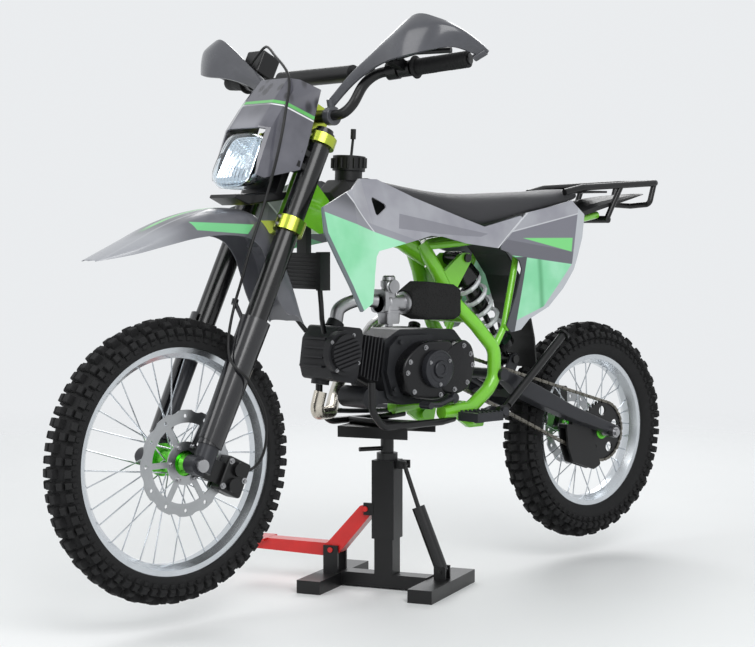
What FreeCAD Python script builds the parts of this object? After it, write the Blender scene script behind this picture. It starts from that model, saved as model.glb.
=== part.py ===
import FreeCAD, Part
import math
import os

V = FreeCAD.Vector

# Wheels, from the tyre sizes 70/100-17 and 90/100-14
WHEELBASE = 1263.0
FRONT_TYRE_R = 291.0
FRONT_TYRE_W = 74.0
FRONT_RIM_R = 236.0
FRONT_RIM_W = 48.0
FRONT_LUG_H = 13.0
REAR_TYRE_R = 268.0
REAR_TYRE_W = 88.0
REAR_RIM_R = 192.0
REAR_RIM_W = 56.0
REAR_LUG_H = 14.0
LUG_ROWS = 30
SPOKES = 32
SPOKE_R = 1.6
AXLE_R = 7.5
PILOT_R = 20.0
RUN_FIT = 0.05
SEAT_GAP = 0.3

# The bike stands on a lift, with both wheels off the floor
FRONT_AXLE_Z = 346.0
REAR_AXLE_Z = 317.0
REAR_AXLE_X = (REAR_TYRE_R - FRONT_TYRE_R - WHEELBASE) / 2.0
FRONT_AXLE_X = REAR_AXLE_X + WHEELBASE

# Fork and steering; fork places are (ahead of the legs, left, up the legs)
RAKE = 25.5
LEG_Y = 84.0
AXLE_LEAD = 16.0
STEM_BACK = 50.0
LUG_T = 17.0
FORK_TUBE_R = 24.0
HOSE_R = 3.0
HOSE_ABOVE = (52, 64, 386)
HOSE_CLIP = (38, 48, 345)
HOSE_BELOW = (46, 76, 272)
ARC_SHARE = 0.45
SLIDER_R = 17.5
TUBE_BOTTOM_W = 277.0
LOWER_CLAMP_W = 520.0
LOWER_CLAMP_T = 30.0
UPPER_CLAMP_W = 722.0
UPPER_CLAMP_T = 22.0
TUBE_ABOVE_CLAMP = 30.0
BAR_ABOVE_TUBE = 38.0
TUBE_TOP_W = UPPER_CLAMP_W + TUBE_ABOVE_CLAMP
STEM_R = 14.0
HEAD_TUBE_R = 24.0
BAR_R = 14.0
BAR_MOUNT_W = TUBE_TOP_W + BAR_ABOVE_TUBE
BAR_MOUNT_U = 4.0
BAR_TUBE_R = 11.0
BAR_HALF = 398.0
BRACE_RISE = 98.0
GRIP_R = 17.0
GRIP_LENGTH = 125.0
FRONT_HUB_Y = 62.0
DISC_Y = 48.0
FRONT_DISC_R = 108.0
REAR_DISC_R = 92.0
REAR_DISC_Y = 44.0
DISC_SEAT_R = 30.0
DISC_T = 3.5

# Drive line
PITCH = 12.7
REAR_TEETH = 36
FRONT_TEETH = 16
CHAIN_Y = 57.0
SHAFT_X = -112.0
SHAFT_Z = 507.0
SPROCKET_T = 5.0
CHAIN_OUT = 6.0
CHAIN_IN = 4.2
CHAIN_PLAY = 0.5
LINK_H = 8.4

# Frame and engine
PIVOT_X = -245.0
PIVOT_Z = 481.0
PIVOT_BOLT_R = 9.0
SPAR_R = 16.0
SPAR_Y = 82.0
FRAME_FOOT_Z = 404.0
ARM_IN_Y = 66.0
ARM_OUT_Y = 96.0
CRANK_X = -42.0
CRANK_Z = 504.0
ENGINE_TILT = 10.0
CARB_Y = 40.0
HEAD_COVER_X = 216.0
HEAD_COVER_Z = 524.0
HEAD_COVER_R = 40.0
COOLER_X = 270.0
COOLER_Z = (686.0, 768.0)
SHOCK_TOP = (-190.0, 750.0)
SHOCK_FOOT = (-366.0, 507.0)
SHOCK_BOLT_R = 6.0

# Side stand; its pin tilts up so that the leg swings outwards as it comes down
STAND_PIN = (-224.0, 120.0, 397.0)
STAND_PIN_R = 6.0
STAND_PIN_TILT = 10.8
SIDE_STAND_LENGTH = 266.0
SIDE_STAND_RISE = 39.4

# Lift stand
STAND_X = 6.0
STAND_Y = -20.0
STAND_TOP_Z = 376.0
STAND_TURN = 25.0
STAND_PLATE = (176.0, 168.0, 5.0)
STAND_FOOT = (277.0, 57.0, 30.0)
STAND_GAP = 211.0
POST_W = 45.0
OUTER_POST_W = 54.0
STAND_SLEEVE_Z = 115.0
STAND_COLLAR_Z = 294.0


def once(make):
    """Keeps the shape that a function makes, for the pieces cut to fit it."""
    kept = []

    def piece():
        if not kept:
            kept.append(make())
        return kept[0]
    return piece


def rod(a, b, radius):
    """A round bar between two points."""
    a, b = V(*a), V(*b)
    return Part.makeCylinder(radius, (b - a).Length, a, b - a)


def cone(a, b, radius_a, radius_b):
    """A round bar that tapers from one point to another."""
    a, b = V(*a), V(*b)
    return Part.makeCone(radius_a, radius_b, (b - a).Length, a, b - a)


def box(x, y, z):
    """A box between three pairs of limits."""
    return Part.makeBox(x[1] - x[0], y[1] - y[0], z[1] - z[0], V(x[0], y[0], z[0]))


def join(shapes):
    """One solid made of pieces that meet."""
    return shapes[0].fuse(shapes[1:]).removeSplitter()


def both(shape):
    """A left piece and its mirror on the right."""
    return Part.makeCompound([shape, flipped(shape)])


def flipped(shape):
    return shape.mirror(V(0, 0, 0), V(0, 1, 0))


def arc_path(points, bend):
    """A path of straight runs whose corners are arcs of the bend radius."""
    points = [V(*p) for p in points]
    edges = []
    last = points[0]
    for before, here, after in zip(points, points[1:], points[2:]):
        a = (before - here).normalize()
        b = (after - here).normalize()
        half = a.getAngle(b) / 2.0
        reach = min(bend / math.tan(half), ARC_SHARE * (before - here).Length,
                    ARC_SHARE * (after - here).Length)
        if half > 1.56:
            continue
        p, q = here + a * reach, here + b * reach
        inward = (a + b).normalize()
        radius = reach * math.tan(half)
        centre = here + inward * (reach / math.cos(half))
        edges.append(Part.makeLine(last, p))
        edges.append(Part.Arc(p, centre - inward * radius, q).toShape())
        last = q
    edges.append(Part.makeLine(last, points[-1]))
    return Part.Wire(edges)


def bend_radii(points):
    """The largest radius that each corner of a path has room for."""
    points = [V(*p) for p in points]
    radii = []
    for before, here, after in zip(points, points[1:], points[2:]):
        turn = math.pi - (before - here).getAngle(after - here)
        run = min((before - here).Length, (after - here).Length)
        radii.append(ARC_SHARE * run / math.tan(turn / 2.0))
    return radii


def tube(points, radius, bend=40.0):
    """A bent round tube, closed at its ends."""
    path = arc_path(points, bend)
    start = V(*points[0])
    ring = Part.makeCircle(radius, start, V(*points[1]) - start)
    return path.makePipeShell([Part.Wire([ring])], True, True)


def outline(points, corner=0.0):
    """A closed wire through the points, its corners rounded where asked."""
    count = len(points)
    edges = []
    ends = []
    for i in range(count):
        here = points[i]
        if corner <= 0.0:
            ends.append((here, None, here))
            continue
        before, after = points[i - 1], points[(i + 1) % count]
        a = (before - here).normalize()
        b = (after - here).normalize()
        half = a.getAngle(b) / 2.0
        reach = min(corner / math.tan(half), 0.45 * (before - here).Length,
                    0.45 * (after - here).Length)
        if half > 1.5:
            ends.append((here, None, here))
            continue
        inward = (a + b).normalize()
        radius = reach * math.tan(half)
        centre = here + inward * (reach / math.cos(half))
        ends.append((here + a * reach, centre - inward * radius, here + b * reach))
    for i in range(count):
        start, middle, stop = ends[i]
        if middle is not None:
            edges.append(Part.Arc(start, middle, stop).toShape())
        follow = ends[(i + 1) % count][0]
        if (follow - stop).Length > 1e-6:
            edges.append(Part.makeLine(stop, follow))
    return Part.Wire(edges)


def side_plate(points, y_low, y_high, corner=0.0):
    """A plate seen from the side, given as (x, z) points, between two y planes."""
    wire = outline([V(x, y_low, z) for x, z in points], corner)
    return Part.Face(wire).extrude(V(0, y_high - y_low, 0))


def section_loft(sections, ruled=False):
    """A solid through closed wires."""
    return Part.makeLoft(sections, True, ruled)


def turned(points, centre_x, centre_z, corner=0.0):
    """A profile of (radius, y) points turned about a wheel's axle."""
    wire = outline([V(centre_x + r, y, centre_z) for r, y in points], corner)
    face = Part.Face(wire)
    return face.revolve(V(centre_x, 0, centre_z), V(0, 1, 0), 360)


def across(x, z, radius, y_low, y_high):
    """A round bar along the axle direction."""
    return Part.makeCylinder(radius, y_high - y_low, V(x, y_low, z), V(0, 1, 0))


def in_fork(shape):
    """Moves a shape from fork places to the bike."""
    turn = FreeCAD.Rotation(V(0, 1, 0), -RAKE)
    foot = V(FRONT_AXLE_X, 0, FRONT_AXLE_Z) - turn.multVec(V(AXLE_LEAD, 0, 0))
    moved = shape.copy()
    moved.Placement = FreeCAD.Placement(foot, turn).multiply(moved.Placement)
    return moved


def fork_place(u, y, w):
    """The place on the bike of a fork place."""
    lean = math.radians(RAKE)
    ahead = u - AXLE_LEAD
    return (FRONT_AXLE_X + ahead * math.cos(lean) - w * math.sin(lean), y,
            FRONT_AXLE_Z + ahead * math.sin(lean) + w * math.cos(lean))

def spun(a, b, profile):
    """A profile of (distance, radius) points turned about the line from a towards b."""
    points = [V(r, 0, along) for along, r in profile]
    axis = [V(0, 0, profile[-1][0]), V(0, 0, profile[0][0])]
    loop = [p for p in points if p.x > 0.0]
    wire = Part.makePolygon(loop + axis + [loop[0]])
    body = Part.Face(wire).revolve(V(0, 0, 0), V(0, 0, 1), 360)
    body.Placement = FreeCAD.Placement(V(*a), FreeCAD.Rotation(V(0, 0, 1), V(*b) - V(*a)))
    return body


def flat_ring(points, sides, x, z):
    """A ring of flat faces through a closed profile of (radius, y) points."""
    rows = []
    for k in range(sides):
        angle = 2.0 * math.pi * k / sides
        rows.append([V(x + r * math.cos(angle), y, z + r * math.sin(angle)) for r, y in points])
    faces = []
    for k in range(sides):
        here, after = rows[k - 1], rows[k]
        for i in range(len(points)):
            corners = [here[i - 1], here[i], after[i], after[i - 1]]
            faces.append(Part.Face(Part.makePolygon(corners + [corners[0]])))
    body = Part.Solid(Part.Shell(faces))
    if body.Volume < 0.0:
        body.reverse()
    return body


def whole(shape):
    """Drops the crumbs that a cut leaves behind."""
    largest = max(solid.Volume for solid in shape.Solids)
    return Part.makeCompound([one for one in shape.Solids if one.Volume > largest / 2000.0])


def save(node, shape):
    whole(shape).exportStep("parts/" + node + ".step")


# Wheels


def tyre(x, z, radius, width, rim_r, rim_w, lug_h):
    """Carcass of flat faces about the axle, with rows of lugs standing on it."""
    crown = radius - lug_h
    half = width / 2.0 - 4.0
    bead = rim_w / 2.0 - 3.0 - SEAT_GAP
    round_out = 1.0 / math.cos(math.pi / LUG_ROWS)
    side = [(crown, 0.42 * half), (crown - 12.0, 0.86 * half),
            (0.5 * (rim_r + crown) - 6.0, half), ((rim_r + 1.0) * round_out, bead),
            ((rim_r - 10.0) * round_out + SEAT_GAP, bead - 1.0)]
    profile = side + [(r, -y) for r, y in reversed(side)]
    lugs = []
    for row in range(LUG_ROWS):
        for lug in lug_row(row, radius, half, lug_h):
            lug.translate(V(x, 0, z))
            lugs.append(lug)
    return flat_ring(profile, LUG_ROWS, x, z).fuse(lugs)


def lug_row(row, radius, half, lug_h):
    """A centre lug, and two shoulder lugs half a step on."""
    step = 360.0 / LUG_ROWS
    crown = radius - lug_h
    length = 2.0 * math.pi * radius / LUG_ROWS * 0.28
    centre = box((crown - 5.0, radius), (-0.36 * half, 0.36 * half), (-length / 2, length / 2))
    centre.rotate(V(0, 0, 0), V(0, 1, 0), step * (row + 0.5))
    shapes = [centre]
    for side in (-1.0, 1.0):
        root = V(crown - 24.0, side * (half - 7.0), 0)
        lug = box((root.x, radius - 3.0), (root.y - 7.0, root.y + 7.0),
                  (-length / 2, length / 2))
        lug.rotate(root, V(0, 0, 1), side * 12.0)
        lug.rotate(V(0, 0, 0), V(0, 1, 0), step * row)
        shapes.append(lug)
    return shapes


def rim(x, z, rim_r, rim_w):
    """A drop-centre rim with two flanges."""
    half = rim_w / 2.0
    profile = [(rim_r, half), (rim_r, half - 3.0), (rim_r - 10.0, half - 4.0),
               (rim_r - 14.0, 8.0), (rim_r - 14.0, -8.0), (rim_r - 10.0, 4.0 - half),
               (rim_r, 3.0 - half), (rim_r, -half), (rim_r - 15.0, 1.5 - half),
               (rim_r - 26.0, -9.0), (rim_r - 26.0, 9.0), (rim_r - 15.0, half - 1.5)]
    return turned(profile, x, z)


def spokes(x, z, rim_r, flange_r, flange_y):
    """Crossed spokes from the hub flanges to the rim."""
    bars = []
    for i in range(SPOKES):
        side = 1.0 if i % 2 == 0 else -1.0
        lean = 1.0 if (i // 2) % 2 == 0 else -1.0
        out = 2.0 * math.pi * i / SPOKES
        start = out - lean * math.radians(42.0)
        y = side * (flange_y + 1.6 * lean)
        a = V(x + flange_r * math.cos(start), y, z + flange_r * math.sin(start))
        b = V(x + (rim_r - 20.0) * math.cos(out), side * 5.0, z + (rim_r - 20.0) * math.sin(out))
        bars.append(hex_bar(a, b, SPOKE_R))
    return bars


def hex_bar(a, b, radius):
    """A six-sided bar between two points."""
    along = (b - a).normalize()
    side = along.cross(V(0, 1, 0)).normalize()
    up = along.cross(side)
    ring = []
    for k in range(6):
        angle = math.radians(60.0 * k)
        ring.append(a + side * (radius * math.cos(angle)) + up * (radius * math.sin(angle)))
    wire = Part.makePolygon(ring + [ring[0]])
    return Part.Face(wire).extrude(b - a)


def laced_rim(x, z, rim_r, rim_w, flange_r, flange_y):
    body = rim(x, z, rim_r, rim_w)
    return body.fuse(spokes(x, z, rim_r, flange_r, flange_y))


def hub(x, z, flange_r, flange_y, disc_y, left_y, right_y):
    """Barrel with two spoke flanges and a seat for the disc."""
    profile = [(AXLE_R + RUN_FIT, -right_y), (17.0, -right_y), (19.0, -flange_y - 4.0),
               (flange_r + 5.0, -flange_y - 4.0), (flange_r + 5.0, -flange_y + 2.0),
               (22.0, -flange_y + 6.0), (19.0, 0.0), (22.0, flange_y - 6.0),
               (flange_r + 5.0, flange_y - 2.0), (flange_r + 5.0, flange_y + 4.0),
               (DISC_SEAT_R, flange_y + 8.0), (DISC_SEAT_R, disc_y), (PILOT_R, disc_y),
               (PILOT_R, disc_y + 6.0), (15.0, left_y),
               (AXLE_R + RUN_FIT, left_y)]
    return turned(profile, x, z)


def brake_disc(x, z, radius, y, mount_r):
    """Wavy ring on a spider, with drilled holes."""
    ring = across(x, z, radius, y, y + DISC_T).cut(across(x, z, radius - 26.0, y, y + DISC_T))
    arms = [ring]
    for k in range(6):
        arm = box((mount_r - 6.0, radius - 20.0), (y, y + DISC_T), (-6.0, 6.0))
        arm.rotate(V(0, 0, 0), V(0, 1, 0), 60.0 * k)
        arm.translate(V(x, 0, z))
        arms.append(arm)
    arms.append(across(x, z, mount_r + 4.0, y, y + DISC_T))
    body = join(arms).cut(across(x, z, mount_r - 14.0, y, y + DISC_T))
    cuts = []
    for k in range(12):
        angle = math.radians(30.0 * k + 15.0)
        reach = radius + 22.0
        cuts.append(across(x + reach * math.cos(angle), z + reach * math.sin(angle), 26.0,
                           y - 1.0, y + DISC_T + 1.0))
        angle = math.radians(30.0 * k)
        reach = radius - 12.0
        cuts.append(across(x + reach * math.cos(angle), z + reach * math.sin(angle), 4.0,
                           y - 1.0, y + DISC_T + 1.0))
    return body.cut(cuts)


def front_wheel():
    x, z = FRONT_AXLE_X, FRONT_AXLE_Z
    save("front_tyre", tyre(x, z, FRONT_TYRE_R, FRONT_TYRE_W, FRONT_RIM_R, FRONT_RIM_W,
                            FRONT_LUG_H))
    body = hub(x, z, 29.0, 27.0, DISC_Y, FRONT_HUB_Y, FRONT_HUB_Y)
    save("front_rim", laced_rim(x, z, FRONT_RIM_R, FRONT_RIM_W, 29.0, 27.0).cut(body))
    save("front_hub", body)
    save("front_disc", brake_disc(x, z, FRONT_DISC_R, DISC_Y, 40.0).cut(
        across(x, z, PILOT_R, 0.0, 90.0)))


def rear_wheel():
    x, z = REAR_AXLE_X, REAR_AXLE_Z
    save("rear_tyre", tyre(x, z, REAR_TYRE_R, REAR_TYRE_W, REAR_RIM_R, REAR_RIM_W,
                           REAR_LUG_H))
    seat_ring = across(x, z, DISC_SEAT_R, -REAR_DISC_Y, -36.0)
    body = join([hub(x, z, 33.0, 30.0, CHAIN_Y - SPROCKET_T / 2, 62.0, 62.0),
                 seat_ring.cut(across(x, z, 15.0, -70.0, 70.0))])
    save("rear_rim", laced_rim(x, z, REAR_RIM_R, REAR_RIM_W, 33.0, 30.0).cut(body))
    save("rear_hub", body)
    save("rear_disc", flipped(brake_disc(x, z, REAR_DISC_R, REAR_DISC_Y, 40.0)).cut(body))
    save("rear_sprocket", sprocket(x, z, REAR_TEETH).cut(across(x, z, PILOT_R, 0.0, 90.0)))


# Drive


def pitch_radius(teeth):
    return PITCH / (2.0 * math.sin(math.pi / teeth))


def chain_angle():
    """The way from the rear axle to the engine's shaft."""
    return math.atan2(SHAFT_Z - REAR_AXLE_Z, SHAFT_X - REAR_AXLE_X)


def sprocket(x, z, teeth):
    """Toothed ring with its gaps under the chain's rollers, on a cut-out carrier."""
    root = pitch_radius(teeth) - 4.3
    tip = pitch_radius(teeth) + 4.2
    start = chain_angle() + math.pi / 2.0
    points = []
    for k in range(teeth):
        gap = start + 2.0 * math.pi * k / teeth
        step = 2.0 * math.pi / teeth
        for share, radius in ((-0.16, root), (0.16, root), (0.42, tip), (0.58, tip)):
            angle = gap + share * step
            points.append(V(x + radius * math.cos(angle), CHAIN_Y - SPROCKET_T / 2,
                            z + radius * math.sin(angle)))
    body = Part.Face(outline(points)).extrude(V(0, SPROCKET_T, 0))
    cuts = []
    for k in range(5):
        angle = math.radians(72.0 * k + 20.0)
        cuts.append(across(x + 50.0 * math.cos(angle), z + 50.0 * math.sin(angle), 12.0,
                           CHAIN_Y - 10.0, CHAIN_Y + 10.0))
    return body.cut(cuts)


def chain_pins():
    """The pins of the closed chain as (x, z), from the rear sprocket's top around."""
    lead = chain_angle()
    rear_r, front_r = pitch_radius(REAR_TEETH), pitch_radius(FRONT_TEETH)
    pins = []
    for k in range(REAR_TEETH // 2 + 1):
        angle = lead + math.pi / 2.0 + 2.0 * math.pi * k / REAR_TEETH
        pins.append((REAR_AXLE_X + rear_r * math.cos(angle), REAR_AXLE_Z + rear_r * math.sin(angle)))
    front = []
    for k in range(FRONT_TEETH // 2 + 1):
        angle = lead - math.pi / 2.0 + 2.0 * math.pi * k / FRONT_TEETH
        front.append((SHAFT_X + front_r * math.cos(angle), SHAFT_Z + front_r * math.sin(angle)))
    pins += run_between(pins[-1], front[0]) + front
    pins += run_between(front[-1], pins[0])
    return pins


def run_between(a, b):
    count = int(round(math.hypot(b[0] - a[0], b[1] - a[1]) / PITCH))
    return [(a[0] + (b[0] - a[0]) * k / count, a[1] + (b[1] - a[1]) * k / count)
            for k in range(1, count)]


def chain():
    """Outer and inner links in turn, joined at their pins, open for the sprockets' teeth."""
    pins = chain_pins()
    rooms = [sprocket_room(REAR_AXLE_X, REAR_AXLE_Z, REAR_TEETH),
             sprocket_room(SHAFT_X, SHAFT_Z, FRONT_TEETH)]
    links = []
    for i, a in enumerate(pins):
        half = CHAIN_OUT if i % 2 == 0 else CHAIN_IN
        links.append(link(a, pins[(i + 1) % len(pins)], half))
    return links[0].fuse(links[1:]).removeSplitter().cut(rooms)


def sprocket_room(x, z, teeth):
    """The slot between the chain's side plates where a sprocket runs."""
    half = SPROCKET_T / 2 + CHAIN_PLAY
    return across(x, z, pitch_radius(teeth) + LINK_H, CHAIN_Y - half, CHAIN_Y + half)


def link(a, b, half):
    length = math.hypot(b[0] - a[0], b[1] - a[1])
    reach = 2.8 if half == CHAIN_OUT else 0.0
    body = box((-reach, length + reach), (CHAIN_Y - half, CHAIN_Y + half),
               (-LINK_H / 2, LINK_H / 2))
    turn = -math.degrees(math.atan2(b[1] - a[1], b[0] - a[0]))
    body.rotate(V(0, 0, 0), V(0, 1, 0), turn)
    body.translate(V(a[0], 0, a[1]))
    return body


# Steering


def fork_tubes():
    """Upper legs with a collar at the mouth and a cap on top, bored for the sliders."""
    leg = rod((0, LEG_Y, TUBE_BOTTOM_W), (0, LEG_Y, TUBE_TOP_W), FORK_TUBE_R)
    collar = rod((0, LEG_Y, TUBE_BOTTOM_W), (0, LEG_Y, TUBE_BOTTOM_W + 22), FORK_TUBE_R + 3)
    cap = rod((0, LEG_Y, TUBE_TOP_W), (0, LEG_Y, TUBE_TOP_W + 8), FORK_TUBE_R - 5)
    bore = rod((0, LEG_Y, TUBE_BOTTOM_W - 1), (0, LEG_Y, TUBE_BOTTOM_W + 60), SLIDER_R)
    return in_fork(both(join([leg, collar, cap]).cut(bore)))


def fork_sliders():
    """Lower legs, each with the lug that holds the axle."""
    leg = rod((0, LEG_Y, 10), (0, LEG_Y, TUBE_BOTTOM_W + 60), SLIDER_R)
    boot = rod((0, LEG_Y, -8), (0, LEG_Y, 48), SLIDER_R + 4.5)
    lug = box((0, AXLE_LEAD), (LEG_Y - LUG_T, LEG_Y + LUG_T), (-19, 19))
    eye = rod((AXLE_LEAD, LEG_Y - LUG_T, 0), (AXLE_LEAD, LEG_Y + LUG_T, 0), 19.0)
    bore = rod((AXLE_LEAD, LEG_Y - 40, 0), (AXLE_LEAD, LEG_Y + 40, 0), AXLE_R)
    seat = rod((AXLE_LEAD, LEG_Y + LUG_T, 0), (AXLE_LEAD, LEG_Y + 40, 0), 14.0)
    hub_room = box((-30, 60), (LEG_Y - 40, LEG_Y - LUG_T), (-30, 60))
    return in_fork(both(join([leg, boot, lug, eye]).cut([bore, seat, hub_room])))


def front_axle():
    shaft = rod((AXLE_LEAD, -LEG_Y - 26, 0), (AXLE_LEAD, LEG_Y + 26, 0), AXLE_R)
    nut = rod((AXLE_LEAD, LEG_Y + LUG_T, 0), (AXLE_LEAD, LEG_Y + LUG_T + 12, 0), 13.0)
    head = rod((AXLE_LEAD, -LEG_Y - LUG_T - 10, 0), (AXLE_LEAD, -LEG_Y - LUG_T, 0), 13.0)
    spacers = []
    for side in (1.0, -1.0):
        spacers.append(rod((AXLE_LEAD, side * (FRONT_HUB_Y + 0.6), 0),
                           (AXLE_LEAD, side * (LEG_Y - LUG_T), 0), 12.0))
    return in_fork(join([shaft, nut, head] + spacers))


def perch_place():
    """Where the right lever's perch starts on the bar."""
    a, _, along = grip_line(-1)
    return a - along * 34


def hose_points():
    """The brake hose's route from the perch, over the mask and round the leg to the caliper."""
    seat = perch_place()
    return [(seat.x + 33, seat.y - 5, seat.z - 2), (34, -222, 916), (44, -188, 940),
            (63, -146, 945), (84, -98, 926), (98, -46, 894), (109, 4, 866), (115, 46, 838),
            (113, 68, 807), (119, 90, 756), (113, 100, 701), (97, 94, 640), (78, 77, 581),
            (68, 71, 524), (65, 70, 452), HOSE_ABOVE, HOSE_CLIP, HOSE_BELOW,
            (41, 94, 228), (32, 117, 206), (0, 127, 198), (-48, 116, 177), (-86, 108, 156),
            (-112, 100, 126), (-130, 91, 98), (-139, 82, 70), (-134, 73, 45), (-114, 66, 28)]


@once
def front_brake_hose():
    points = hose_points()
    radii = bend_radii(points)
    print("front brake hose: radii", [round(r) for r in radii])
    shape = tube(points, HOSE_R, 400.0)
    length = arc_path(points, 400.0).Length
    print("front brake hose: length", round(length), "volume over section times length",
          round(shape.Volume / (math.pi * HOSE_R ** 2 * length), 4))
    return in_fork(shape).cut([bar_controls(), front_brake()])


def fork_guards():
    """A shield around the outside and front of each slider, and the hose clip on the left."""
    top, foot = 322.0, 46.0
    along = (V(*HOSE_BELOW) - V(*HOSE_ABOVE)).normalize()
    clip = rod(tuple(V(*HOSE_CLIP) - along * 6), tuple(V(*HOSE_CLIP) + along * 6), 7.0)
    arm = rod(HOSE_CLIP, (26, 78, top - 10), 4.5)
    outer = cone((0, LEG_Y, foot), (0, LEG_Y, top), 27.0, 33.0)
    inner = cone((0, LEG_Y, foot - 1), (0, LEG_Y, top + 1), 24.0, 29.8)
    keep = box((-22, 60), (LEG_Y - 8, LEG_Y + 60), (foot, top))
    shell = outer.cut(inner).common(keep)
    ring = rod((0, LEG_Y, foot), (0, LEG_Y, foot + 14), 25.0)
    ring = ring.cut(rod((0, LEG_Y, foot - 1), (0, LEG_Y, foot + 20), SLIDER_R + 4.5))
    ring = ring.cut(rod((0, LEG_Y, foot + 2), (0, LEG_Y, foot + 20), SLIDER_R))
    slope = box((-80, 80), (0, 200), (0, 60))
    slope.rotate(V(0, 0, foot + 6), V(0, 1, 0), -20)
    slope.translate(V(0, 0, foot - 60))
    shell = shell.cut(slope)
    arm = arm.cut(rod((0, LEG_Y, top - 40), (0, LEG_Y, top + 60), FORK_TUBE_R + 3))
    left = join([shell, ring, clip, arm])
    right = flipped(join([shell, ring]))
    return in_fork(Part.makeCompound([left, right])).cut(front_brake_hose())


def clamp_plate(w_low, thick, front_u):
    """A triple clamp: two split rings and the bridge that holds the stem."""
    high = w_low + thick
    rings = [rod((0, side * LEG_Y, w_low), (0, side * LEG_Y, high), FORK_TUBE_R + 8)
             for side in (1, -1)]
    bridge = outline([V(-STEM_BACK - 24, -26, w_low), V(-STEM_BACK - 24, 26, w_low),
                      V(-18, LEG_Y + 4, w_low), V(20, LEG_Y - 2, w_low),
                      V(front_u, 30, w_low), V(front_u, -30, w_low),
                      V(20, -LEG_Y + 2, w_low), V(-18, -LEG_Y - 4, w_low)], 8.0)
    body = join([Part.Face(bridge).extrude(V(0, 0, thick))] + rings)
    for side in (1, -1):
        body = body.cut(rod((0, side * LEG_Y, w_low - 1), (0, side * LEG_Y, high + 1),
                            FORK_TUBE_R))
        slit = box((0, 60), (side * LEG_Y - 1.5, side * LEG_Y + 1.5), (w_low - 1, high + 1))
        body = body.cut(slit)
    return body


def triple_clamps():
    """Both clamps, joined by the steering stem."""
    low = clamp_plate(LOWER_CLAMP_W, LOWER_CLAMP_T, -2.0)
    top = clamp_plate(UPPER_CLAMP_W, UPPER_CLAMP_T, 8.0)
    stem = rod((-STEM_BACK, 0, LOWER_CLAMP_W), (-STEM_BACK, 0, UPPER_CLAMP_W + 30), STEM_R)
    nut = rod((-STEM_BACK, 0, UPPER_CLAMP_W + UPPER_CLAMP_T),
              (-STEM_BACK, 0, UPPER_CLAMP_W + UPPER_CLAMP_T + 12), 17.0)
    return join([in_fork(join([low, top, stem, nut])), bar_clamps()])


def bar_clamps():
    """Two risers on the top clamp that hold the handlebar."""
    y_in, y_out = 32.0, 58.0
    riser = Part.Face(outline([V(-18, y_in, UPPER_CLAMP_W + UPPER_CLAMP_T),
                               V(22, y_in, UPPER_CLAMP_W + UPPER_CLAMP_T),
                               V(BAR_MOUNT_U + 24, y_in, BAR_MOUNT_W - 6),
                               V(BAR_MOUNT_U + 24, y_in, BAR_MOUNT_W + 22),
                               V(BAR_MOUNT_U - 24, y_in, BAR_MOUNT_W + 22),
                               V(BAR_MOUNT_U - 24, y_in, BAR_MOUNT_W - 6)], 6.0))
    riser = riser.extrude(V(0, y_out - y_in, 0))
    bore = rod((BAR_MOUNT_U, 0, BAR_MOUNT_W), (BAR_MOUNT_U, 90, BAR_MOUNT_W), BAR_R)
    return in_fork(both(riser.cut(bore)))


def bar_place(ahead, left, up):
    """A fork place given from the middle of the bar's mount."""
    return (BAR_MOUNT_U + ahead, left, BAR_MOUNT_W + up)


def bar_points(side):
    """The bar's corners from the middle to one end."""
    return [bar_place(0, side * 78, 0), bar_place(4, side * 152, 2),
            bar_place(4, side * 170, 92), bar_place(-53, side * BAR_HALF, 142)]


def bar_line(side):
    """One half of the bar as a plain tube, for the pieces cut to fit it."""
    return tube([bar_place(0, 0, 0)] + bar_points(side), BAR_TUBE_R, 60.0)


def bar_brace():
    return rod(bar_place(4, -184, BRACE_RISE), bar_place(4, 184, BRACE_RISE), 7.0)


def handlebar():
    """A tapered bar with its brace."""
    left = bar_points(1)
    path = [(p[0], -p[1], p[2]) for p in reversed(left)] + left
    middle = rod(bar_place(0, -80, 0), bar_place(0, 80, 0), BAR_R)
    return in_fork(join([tube(path, BAR_TUBE_R, 60.0), middle, bar_brace()]))


def bar_pad():
    """A foam roll wrapped round the brace."""
    body = rod(bar_place(4, -120, BRACE_RISE), bar_place(4, 120, BRACE_RISE), 18.0)
    return in_fork(body.cut(bar_brace()))


def grip_line(side):
    """The grip's inner and outer ends on the bar."""
    a, b = V(*bar_points(side)[2]), V(*bar_points(side)[3])
    along = (b - a).normalize()
    return b - along * (GRIP_LENGTH + 4), b - along * 4, along


def grips():
    shapes = []
    for side in (1, -1):
        a, _, along = grip_line(side)
        flange = Part.makeCylinder(24.0, 6.0, a, along)
        sleeve = Part.makeCylinder(GRIP_R, GRIP_LENGTH, a, along)
        bore = Part.makeCylinder(BAR_TUBE_R, GRIP_LENGTH + 9.0, a - along * 4, along)
        shapes.append(join([sleeve, flange]).cut(bore))
    return in_fork(Part.makeCompound(shapes))


@once
def hand_guards():
    """Curved shields from clamps by the bar's mount, round in front to the bar's ends."""
    rows = []
    for ahead, y, turn, low, mid, high in (
            (22, 95, 0, 14, 28, 42), (36, 150, 0, 54, 72, 88), (48, 201, 0, 76, 98, 118),
            (62, 262, 0, 88, 124, 156), (72, 326, 5, 92, 148, 187), (54, 385, 35, 110, 162, 182),
            (14, 418, 70, 134, 168, 178), (-39, 430, 86, 146, 164, 174),
            (-64, 431, 90, 150, 163, 170)):
        rows.append(guard_section(ahead, y, turn, (low, mid, high)))
    shell = section_loft(rows, True)
    _, b, along = grip_line(1)
    end = rod(tuple(b + along * 8), bar_place(-58, 429, 160), 8.0)
    clamp = rod(bar_place(0, 86, 0), bar_place(0, 104, 0), 20.0)
    arm = rod(bar_place(0, 95, 4), bar_place(20, 95, 30), 8.0)
    body = join([shell, end, clamp, arm])
    return in_fork(both(body.cut(bar_line(1))))


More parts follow.
